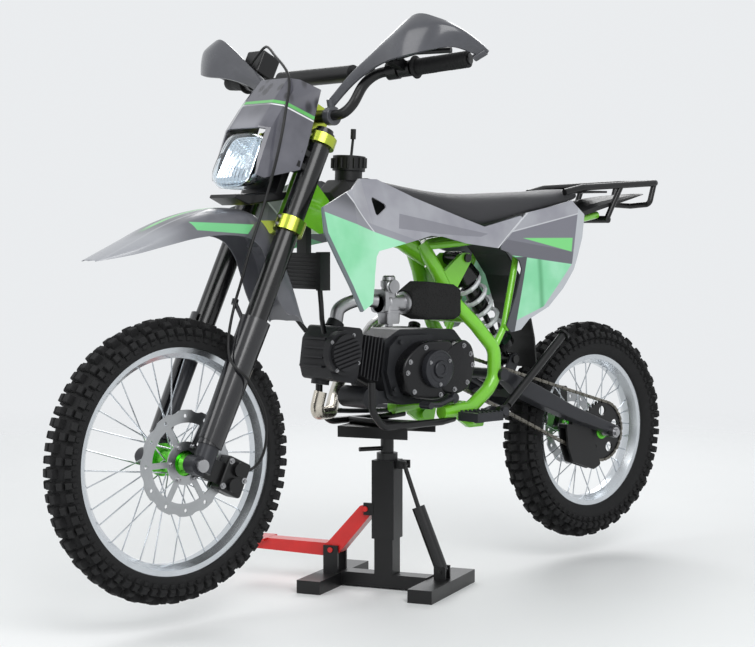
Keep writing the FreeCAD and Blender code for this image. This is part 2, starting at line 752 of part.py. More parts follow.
def guard_section(ahead, y, turn, heights):
    """A thin leaf section whose middle stands out in the direction of the turn."""
    out_u, out_y = math.cos(math.radians(turn)), math.sin(math.radians(turn))
    low, mid, high = heights
    t = 4.0
    wire = [V(*bar_place(ahead - depth * out_u, y - depth * out_y, up))
            for depth, up in ((13, low), (0, mid), (11, high), (11 + t, high), (t, mid),
                              (13 + t, low))]
    return Part.makePolygon(wire + [wire[0]])


@once
def bar_controls():
    """Levers with their perches, the brake reservoir and the switch."""
    shapes = []
    for side in (1, -1):
        a, _, along = grip_line(side)
        seat = a - along * 34
        perch = Part.makeCylinder(17.0, 26.0, seat, along)
        lever = tube([tuple(seat + along * reach + V(ahead, 0, up)) for reach, ahead, up in
                      ((8, 18, 0), (22, 42, 0), (70, 50, 2), (148, 40, 0))], 6.0, 22.0)
        knuckle = box((seat.x + 8, seat.x + 44), sorted((seat.y, seat.y + side * 24)),
                      (seat.z - 9, seat.z + 12))
        shapes.append(join([perch, knuckle, lever]).cut(bar_line(side)))
    a = grip_line(-1)[0]
    cup = box((a.x - 8, a.x + 44), (a.y + 14, a.y + 76), (a.z + 2, a.z + 58))
    cup = cup.makeFillet(5.0, cup.Edges)
    shapes[1] = join([shapes[1], cup]).cut(bar_line(-1))
    a, _, along = grip_line(1)
    switch = Part.makeCylinder(19.0, 24.0, a - along * 62, along).cut(bar_line(1))
    return in_fork(Part.makeCompound(shapes + [switch])).cut(hand_guards())


def headlight_mask():
    """A number-plate mask around the lamp, as a thin bent panel."""
    rows = []
    for w, half, front, back in ((828, 90, 108, 50), (760, 94, 126, 43), (700, 96, 138, 37),
                                 (640, 94, 134, 32), (596, 86, 126, 30)):
        rows.append(mask_ring(w, half, front, back))
    body = section_loft(rows, True)
    lamp = box((27, 200), (-66, 66), (540, 696))
    foot = Part.Face(outline([V(-20, -120, 690), V(32, -120, 650), V(96, -120, 600),
                              V(200, -120, 590), V(200, -120, 480), V(-20, -120, 480)]))
    body = body.cut([lamp, foot.extrude(V(0, 240, 0))])
    return in_fork(body).cut(lamp_bracket())


def mask_ring(w, half, front, back):
    """A U-shaped section of the mask, open to the rear."""
    t = 4.0
    ridge = 0.8
    outer = [V(back, -half, w), V(front - 12, -half * ridge, w), V(front, -half * 0.5, w),
             V(front, half * 0.5, w), V(front - 12, half * ridge, w), V(back, half, w)]
    inner = [V(p.x - t, p.y * (half - t) / half, w) for p in reversed(outer)]
    return Part.makePolygon(outer + inner + [outer[0]])


def headlight():
    """A clear lens over a bowl, set against the bracket's back plate."""
    rows = []
    for u, half, low, high in ((42, 50, 600, 684), (88, 62, 577, 692), (116, 62, 566, 692),
                               (142, 54, 576, 684)):
        wire = outline([V(u, -half, low), V(u, half, low), V(u, half * 0.88, high),
                        V(u, -half * 0.88, high)], 10.0)
        rows.append(wire)
    return in_fork(section_loft(rows, True))


@once
def lamp_bracket():
    """Two arms from each leg to the mask and the lamp's back plate, with the chin below it."""
    arms = []
    for side in (1, -1):
        for w in (660, 690):
            arms.append(box((14, 44), sorted((side * 46, side * 94)), (w - 6, w + 6)))
    chin = section_loft([
        outline([V(16, -54, 588), V(16, 54, 588), V(16, 54, 608), V(16, -54, 608)], 5.0),
        outline([V(88, -50, 542), V(88, 50, 542), V(88, 50, 567), V(88, -50, 567)], 5.0),
        outline([V(126, -44, 540), V(126, 44, 540), V(126, 44, 548), V(126, -44, 548)], 3.0)],
        True)
    legs = both(rod((0, LEG_Y, 400), (0, LEG_Y, 800), FORK_TUBE_R))
    plate = box((26, 42), (-54, 54), (590, 696))
    return in_fork(join(arms + [plate, chin]).cut(legs))


FENDER_ROWS = ((192, 757, 26, 4), (119, 789, 54, 22), (47, 822, 64, 38), (-27, 847, 66, 48),
               (-102, 860, 62, 56), (-168, 857, 58, 62), (-205, 838, 54, 80),
               (-235, 797, 53, 118), (-260, 752, 56, 112), (-284, 690, 60, 56),
               (-304, 624, 58, 8))


@once
def front_fender():
    """A long arched fender before the lower clamp, with a channelled tail behind the legs."""
    rows = [fender_section(FRONT_AXLE_X + x, z, half, drop) for x, z, half, drop in FENDER_ROWS]
    post = in_fork(box((-34, 8), (-24, 24), (LOWER_CLAMP_W - 36, LOWER_CLAMP_W)))
    return join([section_loft(rows, True), post])


def fender_section(x, z, half, drop):
    """An arched strip across the bike, of flat pieces."""
    t = 3.2
    crown = min(drop, 30.0)
    top = [V(x, -half, z - drop), V(x, -half * 0.97, z - 0.3 * drop - 0.3 * crown),
           V(x, -half * 0.8, z - 0.3 * crown), V(x, -half * 0.4, z - 0.06 * crown),
           V(x, 0, z)]
    top += [V(x, -p.y, p.z) for p in reversed(top[:-1])]
    low = [V(x, p.y * (half - t) / half, p.z - t * (1.0 - abs(p.y) / half)) for p in top]
    loop = top + low[::-1]
    return Part.makePolygon(loop + [loop[0]])


@once
def front_brake():
    """Two-piston caliper on its bracket from the left lug, straddling the disc."""
    slot = (DISC_Y - 1.5, DISC_Y + DISC_T + 1.5)
    body = box((-124, -62), (DISC_Y - 14, DISC_Y + 32), (-24, 50))
    body = body.makeFillet(6.0, body.Edges)
    body = body.cut(box((-102, -30), slot, (-60, 90)))
    pistons = [rod((-94, DISC_Y + 28, w), (-94, DISC_Y + 40, w), 15.0) for w in (-4, 30)]
    bracket = side_plate([(-76, 34), (-76, -12), (-20, -16), (-4, 0), (-4, 26)],
                         DISC_Y + 12, DISC_Y + 22, 4.0)
    leg = rod((0, LEG_Y, -20), (0, LEG_Y, 60), SLIDER_R + 4.5)
    return in_fork(join([body, bracket] + pistons).cut(leg))


def steering():
    save("fork_tubes", fork_tubes())
    save("fork_sliders", fork_sliders())
    save("front_axle", front_axle())
    save("fork_guards", fork_guards())
    save("triple_clamps", triple_clamps())
    save("handlebar", handlebar())
    save("bar_pad", bar_pad())
    save("grips", grips())
    save("hand_guards", hand_guards())
    save("bar_controls", bar_controls())
    save("headlight_mask", headlight_mask())
    save("headlight", headlight())
    save("lamp_bracket", lamp_bracket())
    save("front_fender", front_fender())
    save("front_brake", front_brake())
    save("front_brake_hose", front_brake_hose())


# Frame and rear end


def spar_points(side):
    """One spar, from the backbone around the engine's back to the frame's foot."""
    y = side * SPAR_Y
    return [(-62, side * 18, 786), (-100, side * 30, 724), (-128, side * 42, 662),
            (-184, side * 72, 598), (PIVOT_X + 9, y, 540), (PIVOT_X + 9, y, PIVOT_Z - 8),
            (-214, y, 446), (-158, y, FRAME_FOOT_Z + 4), (-66, y, FRAME_FOOT_Z)]


@once
def frame():
    """Head tube, backbone, two spars, cross tubes, shock mount and seat rails."""
    head_low = LOWER_CLAMP_W + LOWER_CLAMP_T + SEAT_GAP
    head_high = UPPER_CLAMP_W - SEAT_GAP
    head = in_fork(rod((-STEM_BACK, 0, head_low), (-STEM_BACK, 0, head_high), HEAD_TUBE_R))
    bore = in_fork(rod((-STEM_BACK, 0, head_low - 9), (-STEM_BACK, 0, head_high + 9),
                       STEM_R + RUN_FIT))
    backbone = tube([fork_place(-STEM_BACK, 0, 624), (190, 0, 848), (-20, 0, 792),
                     (-96, 0, 752)], 22.0, 60.0)
    parts = [head, backbone, head_gusset()]
    for side in (1, -1):
        parts.append(tube(spar_points(side), SPAR_R, 45.0))
        parts.append(seat_rail(side))
        parts.append(tail_stay(side))
        parts.append(foot_bracket(side))
        parts.append(shock_mount(side))
    for x, z, radius in ((-168, 614, 12.0), (-150, 412, 12.0)):
        parts.append(rod((x, -SPAR_Y + 12, z), (x, SPAR_Y - 12, z), radius))
    pivot = across(PIVOT_X, PIVOT_Z, PIVOT_BOLT_R, -120, 120)
    shock_bolt = across(SHOCK_TOP[0], SHOCK_TOP[1], SHOCK_BOLT_R, -60, 60)
    return join(parts).cut([bore, pivot, shock_bolt])


def seat_rail(side):
    """The subframe's upper rail, under the seat to the tail."""
    y = side * 58.0
    return tube([(-52, side * 16, 776), (-150, y, 786), (-400, y, 814), (-640, side * 40, 852)],
                9.0, 60.0)


def tail_stay(side):
    """The strut that carries the tail panel's foot and the seat rail."""
    return join([tube([(PIVOT_X + 9, side * 84, 545), (-262, side * 88, 590),
                       (-300, side * 78, 700), (-345, side * 58, 806)], 8.0, 30.0),
                 rod((-262, side * 86, 590), (-262, side * 102, 590), 8.0)])


def foot_bracket(side):
    """The plate below the spar's foot, with the peg's tube across it."""
    plate = side_plate([(-205, 400), (-110, 400), (-118, 384), (-150, 364), (-196, 364)],
                       side * SPAR_Y - 5, side * SPAR_Y + 5, 5.0)
    return join([plate, rod((-160, side * 66, 382), (-160, side * 104, 382), 11.0)])


def shock_mount(side):
    """The ear from the spar to the shock's upper bolt."""
    x, z = SHOCK_TOP
    return side_plate([(-92, 700), (-120, 650), (-140, 656), (x - 14, z - 8), (x - 12, z + 12),
                       (x + 14, z + 12)], side * 33 - 5, side * 33 + 5, 7.0)


def head_gusset():
    """A boxed gusset between the head tube and the backbone."""
    low = fork_place(-STEM_BACK - 9, 0, 581)
    high = fork_place(-STEM_BACK - 6, 0, 681)
    return side_plate([(low[0], low[2]), (high[0], high[2]), (206, 872), (150, 846), (170, 812),
                       (240, 806)], -19, 19, 8.0)


@once
def swingarm():
    """Two tapered box arms, their cross pieces, the shock's lug and the pivot shaft."""
    parts = []
    for side in (1, -1):
        rows = []
        for x, z_low, z_high, inset in ((-258, 462, 498, 3), (-300, 430, 484, 0),
                                        (-380, 396, 453, 0), (-500, 352, 398, 0),
                                        (REAR_AXLE_X - 30, 300, 334, 3)):
            y_in, y_out = side * (ARM_IN_Y + inset), side * (ARM_OUT_Y - inset)
            rows.append(outline([V(x, y_in, z_low), V(x, y_out, z_low + 7),
                                 V(x, y_out, z_high - 7), V(x, y_in, z_high)], 5.0))
        parts.append(section_loft(rows, True))
    parts.append(across(PIVOT_X, PIVOT_Z, 13.0, -SPAR_Y + SPAR_R, SPAR_Y - SPAR_R))
    parts.append(box((-352, -312), (-ARM_IN_Y - 6, ARM_IN_Y + 6), (420, 450)))
    for side in (1, -1):
        parts.append(box((-330, -262), sorted((side * 24, side * 40)), (440, 468)))
        parts.append(rod((PIVOT_X, side * 24, 478), (-330, side * 24, 440), 12.0))
    x, z = SHOCK_FOOT
    for side in (1, -1):
        parts.append(side_plate([(-316, 446), (-350, 446), (x - 15, z - 4), (x - 8, z + 16),
                                 (x + 14, z + 8)], side * 22 - 3, side * 22 + 3, 6.0))
    body = join(parts).cut([tube(spar_points(side), SPAR_R, 45.0) for side in (1, -1)])
    shaft = across(PIVOT_X, PIVOT_Z, PIVOT_BOLT_R, -106, 106)
    caps = [across(PIVOT_X, PIVOT_Z, 14.0, 98.2, 108), across(PIVOT_X, PIVOT_Z, 14.0, -108, -98.2)]
    bolt = across(x, z, SHOCK_BOLT_R, -40, 40)
    return join([body, shaft] + caps).cut([bolt, rear_axle()])


@once
def rear_axle():
    x, z = REAR_AXLE_X, REAR_AXLE_Z
    shaft = across(x, z, AXLE_R, -ARM_OUT_Y - 14, ARM_OUT_Y + 16)
    nut = across(x, z, 13.0, ARM_OUT_Y - 4, ARM_OUT_Y + 10)
    head = across(x, z, 13.0, -ARM_OUT_Y - 10, -ARM_OUT_Y + 4)
    spacers = [across(x, z, 12.0, 62.6, ARM_IN_Y + 4), across(x, z, 12.0, -ARM_IN_Y - 4, -62.6)]
    adjusters = []
    for side in (1, -1):
        ends = sorted((side * 70, side * 92))
        adjusters.append(box((x - 22, x - 4), ends, (z - 15, z + 15)))
    return join([shaft, nut, head] + spacers + adjusters)


def shock():
    """Damper with its upper eye, conical seat, body, rod and lower eye."""
    (tx, tz), (fx, fz) = SHOCK_TOP, SHOCK_FOOT
    dx, dz = (fx - tx), (fz - tz)

    def at(share, y=0.0):
        return (tx + dx * share, y, tz + dz * share)
    top_eye = rod((tx, -26, tz), (tx, 26, tz), 16.0)
    foot_eye = rod((fx, -19, fz), (fx, 19, fz), 15.0)
    body = [top_eye, foot_eye, cone(at(0.04), at(0.2), 24.0, 35.0), rod(at(0.2), at(0.5), 20.0),
            rod(at(0.45), at(0.97), 7.0), rod(at(0.82), at(0.87), 34.0)]
    bolts = [rod((fx, -30, fz), (fx, 30, fz), SHOCK_BOLT_R),
             rod((tx, -44, tz), (tx, 44, tz), SHOCK_BOLT_R),
             rod((tx, 38, tz), (tx, 44, tz), 10.0), rod((fx, 25.2, fz), (fx, 30, fz), 10.0)]
    return join(body + bolts)


def shock_spring():
    """A coil spring held between the damper's two seats, ruled from turn to turn."""
    (tx, tz), (fx, fz) = SHOCK_TOP, SHOCK_FOOT
    along = V(fx - tx, 0, fz - tz)
    low, high = 0.2, 0.82
    wire_r, coil_r, turns, steps = 5.5, 29.0, 5, 14
    length = along.Length * (high - low) - 2 * wire_r
    rings = []
    for i in range(turns * steps + 1):
        angle = 2.0 * math.pi * i / steps
        out = V(math.cos(angle), math.sin(angle), 0)
        middle = out * coil_r + V(0, 0, wire_r + length * i / (turns * steps))
        ring = [middle + out * (wire_r * math.cos(k * math.pi / 3.0))
                + V(0, 0, wire_r * math.sin(k * math.pi / 3.0)) for k in range(6)]
        rings.append(Part.makePolygon(ring + [ring[0]]))
    coil = section_loft(rings, True)
    turn = FreeCAD.Rotation(V(0, 0, 1), along)
    coil.Placement = FreeCAD.Placement(V(tx, 0, tz) + along * low, turn)
    return coil


# Engine


def engine_axis(shape):
    """Tilts a shape drawn level onto the cylinder's axis."""
    shape = shape.copy()
    shape.rotate(V(60, 0, 522), V(0, 1, 0), -ENGINE_TILT)
    return shape


@once
def crankcase():
    """Both case halves, narrow behind where the chain runs, with a sump."""
    case = side_plate([(-172, 556), (-140, 588), (30, 594), (72, 572), (84, 500), (66, 440),
                       (20, 424), (-120, 424), (-164, 448), (-182, 505)], -46, 46, 16.0)
    wide = side_plate([(-64, 580), (40, 580), (70, 556), (78, 500), (58, 446), (-64, 440)],
                      -58, 58, 12.0)
    starter = across(122, 446, 24.0, -30, 56)
    studs = [across(x, z, 5.0, 40, 66) for x, z in ((40, 566), (58, 462), (-20, 438))]
    neck = box((60, 122), (-20, 40), (430, 458))
    return join([case, wide, starter, neck] + studs)


@once
def engine_covers():
    """Left magneto and sprocket covers, and the right clutch cover."""
    magneto = side_plate([(-96, 560), (-10, 566), (44, 530), (54, 500), (30, 446), (-60, 434),
                          (-90, 450)], 58, 88, 16.0)
    lobe = side_plate([(-160, 540), (-128, 566), (-92, 552), (-60, 520), (-60, 450), (-96, 442),
                       (-146, 458), (-166, 506)], 66, 92, 14.0)
    disc = across(CRANK_X, CRANK_Z, 43.0, 84, 104)
    cap = across(CRANK_X, CRANK_Z, 18.5, 100, 109)
    slot = box((CRANK_X - 2, CRANK_X + 2), (106, 112), (CRANK_Z - 12, CRANK_Z + 12))
    room = across(SHAFT_X, SHAFT_Z, 42.0, 40, 65)
    left = join([magneto.cut(room), lobe, disc, cap]).cut(slot)
    clutch = side_plate([(-160, 530), (-120, 588), (-20, 592), (50, 560), (74, 500), (46, 440),
                         (-120, 430), (-164, 470)], -86, -46, 24.0)
    drum = across(-86, 516, 58.0, -98, -80)
    dome = across(CRANK_X + 34, 500, 34.0, -94, -80)
    neck = cone((-120, -70, 570), (-134, -78, 596), 13.0, 15.0)
    case = crankcase()
    return Part.makeCompound([left.cut(case), join([clutch, drum, dome, neck]).cut(case)])


@once
def cylinder():
    """Finned barrel and head, with the louvred cover and the port flanges."""
    parts = [box((70, 160), (-38, 38), (486, 560))]
    for k in range(7):
        x = 90.0 + 10.0 * k
        parts.append(box((x, x + 3.4), (-50, 50), (476, 572)))
    parts.append(side_plate([(160, 462), (228, 462), (241, 490), (243, 548), (228, 580),
                             (160, 584)], -44, 58, 12.0))
    for k in range(4):
        z = 486.0 + 20.0 * k
        parts.append(box((236, 250), (-34, 40), (z, z + 4)))
    parts.append(across(HEAD_COVER_X, HEAD_COVER_Z, HEAD_COVER_R + 8.0, 56, 74))
    face = across(HEAD_COVER_X, HEAD_COVER_Z, HEAD_COVER_R, 70, 82)
    grooves = [box((HEAD_COVER_X - 60, HEAD_COVER_X + 60), (77, 90),
                   (HEAD_COVER_Z - 29.5 + 9.0 * k, HEAD_COVER_Z - 25.5 + 9.0 * k))
               for k in range(7)]
    for groove in grooves:
        groove.rotate(V(HEAD_COVER_X, 85, HEAD_COVER_Z), V(0, 1, 0), 24)
    parts.append(face.cut(grooves))
    parts.append(rod((196, 0, 578), (190, 0, 592), 19.0))
    parts.append(rod((206, -8, 470), (206, -8, 452), 20.0))
    return engine_axis(join(parts)).cut(crankcase())


def carburettor():
    """Manifold from the head, body, float bowl, slide top and throttle wheel."""
    y = CARB_Y
    manifold = tube([(177, 0, 614), (168, 4, 644), (130, 24, 662), (92, y, 658)], 15.0, 24.0)
    flange = box((78, 88), (y - 26, y + 26), (632, 684))
    body = rod((14, y, 652), (92, y, 652), 19.0)
    bowl = rod((56, y, 600), (56, y, 648), 23.0)
    slide = rod((56, y, 650), (56, y, 706), 17.0)
    cap = rod((56, y, 700), (56, y, 714), 14.0)
    wheel = across(62, 690, 15.0, y + 14, y + 26)
    ring = rod((8, y, 652), (18, y, 652), 25.0)
    body = join([manifold, flange, body, bowl, slide, cap, wheel, ring])
    return body.cut([cylinder(), crankcase()])


def air_filter():
    """A foam sleeve that widens behind the carburettor."""
    rows = []
    for x, y_mid, half, z_low, z_high in ((8, CARB_Y, 26, 626, 680), (-26, 48, 35, 614, 700),
                                          (-106, 52, 37, 612, 692), (-124, 52, 33, 618, 684)):
        rows.append(outline([V(x, y_mid - half, z_low), V(x, y_mid + half, z_low),
                             V(x, y_mid + half, z_high), V(x, y_mid - half, z_high)], 12.0))
    return section_loft(rows, True).cut(frame())


@once
def exhaust():
    """Header from under the head, up the right side of the engine, to the silencer."""
    start, end = (-236, -148, 682), (-540, -158, 790)
    pipe = tube([(214, -8, 462), (226, -12, 414), (152, -46, 410), (98, -98, 436),
                 (54, -114, 500), (-36, -116, 592), (-160, -124, 646), start,
                 (-262, -148.9, 691.2)], 14.5, 38.0)
    length = (V(*end) - V(*start)).Length
    can = spun(start, end, [(8, 18), (60, 38), (length, 38), (length + 6, 32), (length + 10, 17),
                            (length + 36, 17), (length + 36, 13), (length + 12, 13)])
    hanger = box((-440, -424), (-130, -96), (752, 760)).cut(tail_panels())
    return join([pipe, can, hanger]).cut(cylinder())


def oil_cooler():
    """A finned core between two tanks, with hoses to the head."""
    x = COOLER_X
    low, high = COOLER_Z
    fins = [box((x - 12, x + 12), (-66, 66), (low + 8.0 + 8.2 * k, low + 11.0 + 8.2 * k))
            for k in range(9)]
    tanks = [box((x - 14, x + 14), sorted((side * 60, side * 74)), (low, high))
             for side in (1, -1)]
    core = box((x - 4, x + 4), (-62, 62), (low + 2, high - 2))
    bracket = box((x - 10, x + 4), (-16, 16), (high - 12, high + 62))
    hoses = []
    for side, end in ((1, 30), (-1, -30)):
        hoses.append(tube([(x, side * 56, low + 4), (x - 2, side * 58, low - 30),
                           (x - 16, side * 44, 624), (236, end, 594)], 5.5, 20.0))
    return join(fins + tanks + [core, bracket] + hoses).cut([frame(), cylinder()])


# Bodywork


@once
def fuel_tank():
    """A tank that sits astride the backbone, with a filler neck."""
    rows = []
    for x, low, high, half in ((212, 846, 896, 44), (176, 826, 924, 62), (96, 810, 922, 74),
                               (20, 800, 868, 70), (-36, 800, 844, 58)):
        rows.append(outline([V(x, -half, low), V(x, half, low), V(x, half, low + (high - low) * 0.6),
                             V(x, half * 0.5, high), V(x, -half * 0.5, high),
                             V(x, -half, low + (high - low) * 0.6)], 16.0))
    neck = rod((141, 0, 900), (139, 0, 944), 30.0)
    return join([section_loft(rows, True), neck]).cut([frame(), seat(), fuel_cap()])


@once
def fuel_cap():
    """A ribbed cap with a vent hose and its valve."""
    cap = rod((139, 0, 944), (137, 0, 976), 36.0)
    ribs = []
    for k in range(16):
        angle = 2.0 * math.pi * k / 16
        x, y = 138 + 37.0 * math.cos(angle), 37.0 * math.sin(angle)
        ribs.append(rod((x + 1, y, 950), (x, y, 972), 3.0))
    hose = rod((132, 0, 974), (126, 0, 1016), 3.0)
    valve = rod((126, 0, 1014), (125, 0, 1036), 6.0)
    return join([cap] + ribs + [hose, valve])


@once
def seat():
    """One long pad, narrow in front, dished in the middle."""
    rows = []
    for x, low, high, half in ((96, 900, 926, 34), (33, 872, 914, 60), (-73, 846, 900, 78),
                               (-187, 818, 896, 84), (-333, 846, 901, 82), (-430, 864, 905, 72),
                               (-500, 876, 910, 54), (-550, 886, 911, 44), (-571, 892, 908, 34)):
        rise = high - low
        points = [V(x, -half, low), V(x, half, low), V(x, half * 0.96, low + rise * 0.55),
                  V(x, half * 0.6, high - rise * 0.06), V(x, -half * 0.6, high - rise * 0.06),
                  V(x, -half * 0.96, low + rise * 0.55)]
        rows.append(outline(points, 6.0))
    body = section_loft(rows, True)
    return body


def skin(stations, t=4.0):
    """A thin side panel through stations of (x, [(y, z), ...]) lines."""
    rows = []
    for x, line in stations:
        outer = [V(x, y, z) for y, z in line]
        inner = [V(x, y - t, z) for y, z in reversed(line)]
        rows.append(Part.makePolygon(outer + inner + [outer[0]]))
    return section_loft(rows, True)


SHROUD_LINES = [(365, [(168, 600), (178, 700), (178, 812), (150, 910), (140, 960)]),
                (250, [(160, 600), (166, 700), (166, 780), (138, 900), (120, 960)]),
                (190, [(156, 600), (160, 700), (158, 770), (100, 915), (84, 960)]),
                (60, [(140, 600), (140, 700), (136, 790), (94, 900), (80, 960)]),
                (-120, [(112, 600), (112, 700), (110, 780), (94, 850), (86, 960)]),
                (-345, [(102, 600), (102, 700), (102, 750), (94, 856), (84, 960)])]

TAIL_LINES = [(-210, [(106, 560), (106, 700), (104, 780), (94, 850), (90, 960)]),
              (-345, [(106, 560), (103, 700), (100, 760), (91, 856), (86, 960)]),
              (-560, [(100, 560), (98, 700), (92, 780), (84, 880), (80, 960)])]


@once
def shrouds():
    """Left and right shrouds, with a vent opening and two bosses each."""
    shape = side_plate([(199, 924), (252, 900), (353, 860), (360, 810), (319, 748), (282, 695),
                        (245, 641), (211, 660), (206, 720), (200, 758), (191, 770), (118, 782),
                        (5, 802), (-36, 800), (-121, 784), (-226, 773), (-331, 852),
                        (-187, 822), (-73, 855), (33, 886), (140, 924)], 0, 300, 5.0)
    vent = side_plate([(173, 888), (124, 866), (171, 842)], 0, 300, 6.0)
    shell = skin(SHROUD_LINES)
    left = shell.common(shape).cut(vent)
    bosses = [across(90, 850, 6.0, 70, 112), across(-150, 806, 6.0, 60, 102)]
    behind = skin([(x, [(y + 60, z) for y, z in line]) for x, line in SHROUD_LINES], 60.0)
    left = join([left] + [boss.cut(behind) for boss in bosses])
    return both(left).cut([fuel_tank(), frame(), seat()])


@once
def tail_panels():
    """Left and right tail panels, each bolted at its foot and held to the seat rail."""
    shape = side_plate([(-230, 772), (-335, 855), (-421, 870), (-498, 886), (-543, 852),
                        (-530, 797), (-508, 750), (-493, 721), (-452, 676), (-399, 634),
                        (-330, 607), (-301, 583), (-268, 578), (-254, 594), (-287, 668),
                        (-307, 724), (-299, 744), (-266, 762)], 0, 300, 5.0)
    behind = skin([(x, [(y + 60, z) for y, z in line]) for x, line in TAIL_LINES], 60.0)
    boss = across(-440, 822, 6.0, 50, 110).cut(behind)
    left = join([skin(TAIL_LINES).common(shape), boss])
    return both(left).cut([frame(), shrouds()])


def rear_fender():
    """The tail over the rear tyre, open below."""
    rows = []
    for x, z, half, drop in ((-400, 842, 66, 22), (-500, 860, 70, 26), (-600, 884, 64, 26),
                             (-700, 899, 54, 20), (-780, 905, 42, 10), (-838, 908, 26, 3)):
        rows.append(fender_section(x, z, half, drop))
    return section_loft(rows).cut([seat(), frame(), rack(), tail_panels()])


def mudguard():
    """An inner guard ahead of the rear tyre, up to the seat rails."""
    outer = [(-412, 486), (-402, 560), (-380, 640), (-352, 706), (-310, 756), (-262, 800)]
    inner = [(x + 5, z + 1) for x, z in reversed(outer)]
    return side_plate(outer + inner, -56, 56).cut(frame())


@once
def rack():
    """A tube loop over the tail, its drop-down rear loop and its two struts."""
    r = 8.0
    parts = [tube([(-500, 60, 906), (-560, 65, 918), (-842, 65, 934), (-846, 40, 934),
                   (-846, -40, 934), (-842, -65, 934), (-560, -65, 918), (-500, -60, 906)], r, 18.0)]
    for side in (1, -1):
        parts.append(tube([(-836, side * 62, 932), (-818, side * 62, 880),
                           (-818, 0, 876)], r - 1, 12.0))
        parts.append(tube([(-705, side * 64, 924), (-680, side * 60, 880),
                           (-660, side * 56, 841)], r - 1, 30.0))
    parts.append(rod((-660, -62, 841), (-660, 62, 841), 9.0))
    parts.append(rod((-626, -50, 850), (-660, -50, 841), 6.0))
    parts.append(box((-652, -574), (-64, 64), (906, 911)))
    body = join(parts)
    holes = [rod((x, y, 900), (x, y, 925), 3.3) for x in (-639, -587) for y in (-40, 40)]
    return body.cut(holes + [frame()])


# Foot controls and small pieces


def foot_pegs():
    """Serrated pegs on brackets outside the frame's foot."""
    rim_plate = box((-172, -90), (112, 174), (386, 406))
    rim_plate = rim_plate.cut(box((-166, -96), (118, 168), (380, 410)))
    parts = [rim_plate, box((-168, -150), (104, 116), (376, 404))]
    parts += [box((-142.0 + 24 * k, -138.0 + 24 * k), (114, 172), (388, 404)) for k in range(2)]
    for k in range(6):
        for y in (114, 170):
            parts.append(box((-168.0 + 13 * k, -162.0 + 13 * k), (y - 2, y + 2), (404, 409)))
    return both(join(parts))


def shift_lever():
    arm = tube([(-92, 96, 436), (-40, 104, 424), (16, 112, 428)], 6.0, 20.0)
    boss = across(-92, 436, 11.0, 90, 102)
    pad = rod((16, 104, 428), (16, 136, 428), 8.0)
    return join([arm, boss, pad])


def brake_pedal():
    arm = tube([(-160, -112, 394), (-90, -124, 392), (20, -126, 398), (70, -128, 402)], 6.0, 24.0)
    pad = box((60, 92), (-140, -114), (400, 408))
    boss = across(-160, 392, 12.0, -118, -106)
    return join([arm, pad, boss])


def kick_starter():
    boss = across(-104, 462, 14.0, -116, -86)
    arm = tube([(-104, -110, 462), (-150, -114, 516), (-178, -116, 576)], 6.5, 40.0)
    tread = rod((-178, -106, 576), (-178, -156, 576), 7.5)
    return join([boss, arm, tread])


def engine_guard():
    """A tube from each frame foot, under the engine and up in front of it."""
    low = STAND_TOP_Z + 8.0
    left = tube([(-104, SPAR_Y, 388), (-60, 90, low), (118, 90, low),
                 (150, 90, 420), (150, 88, 484)], 8.0, 34.0)
    bar = rod((60, -90, low), (60, 90, low), 8.0)
    lugs = [rod((150, side * 90, 478), (150, side * 48, 492), 7.0) for side in (1, -1)]
    body = join([left, flipped(left), bar] + lugs)
    return body.cut([frame(), cylinder(), exhaust()])


def side_stand():
    """The folded leg with its pivot eye and foot."""
    foot = V(*STAND_PIN)
    top = foot + V(-SIDE_STAND_LENGTH * math.cos(math.radians(SIDE_STAND_RISE)), 0,
                   SIDE_STAND_LENGTH * math.sin(math.radians(SIDE_STAND_RISE)))
    leg = rod(tuple(foot), tuple(top), 9.5).cut([pin_bar(8.0, 30.0, 24.0),
                                                 pin_bar(-30.0, -8.0, 24.0)])
    pad = Part.makeCylinder(15.0, 6.0, top, top - foot)
    eye = pin_bar(-8.0, 8.0, 15.0)
    return join([leg, eye, pad]).cut(pin_bar(-20.0, 20.0, STAND_PIN_R + RUN_FIT))


def pin_bar(start, stop, radius):
    """A bar along the side stand's tilted pin, measured out from the leg's plane."""
    tilt = math.radians(STAND_PIN_TILT)
    along = V(0, math.cos(tilt), math.sin(tilt))
    foot = V(*STAND_PIN)
    return Part.makeCylinder(radius, stop - start, foot + along * start, along)


def stand_pin():
    """The side stand's pin on a lug behind the left peg."""
    x, y, z = STAND_PIN
    lug = side_plate([(x + 58, z - 21), (x + 58, z - 1), (x + 10, z + 13), (x - 12, z + 8),
                      (x - 12, z - 9), (x + 10, z - 17)], 88, y - 16, 4.0)
    seat = pin_bar(-20.0, -8.3, 12.0)
    return join([lug, seat, pin_bar(-12.0, 12.0, STAND_PIN_R), pin_bar(8.3, 13.0, 10.0)])


def chain_guide():
    """A shoe under the swingarm that leads the lower chain run."""
    def at(x, z):
        return (REAR_AXLE_X + x, z)
    shell = side_plate([at(143, 346), at(55, 330), at(43, 300), at(17, 236), at(43, 226),
                        at(119, 250), at(137, 290)], 44, 72, 6.0)
    slot = side_plate([at(163, 340), at(163, 262), at(3, 190), at(-17, 214), at(3, 262),
                       at(123, 330)], 49, 66)
    tab = box((REAR_AXLE_X + 83, REAR_AXLE_X + 123), (60, 72), (330, 374))
    wheel = across(REAR_AXLE_X, REAR_AXLE_Z, pitch_radius(REAR_TEETH) + 9.0, 49, 66)
    return join([shell, tab]).cut([slot, wheel, swingarm()])


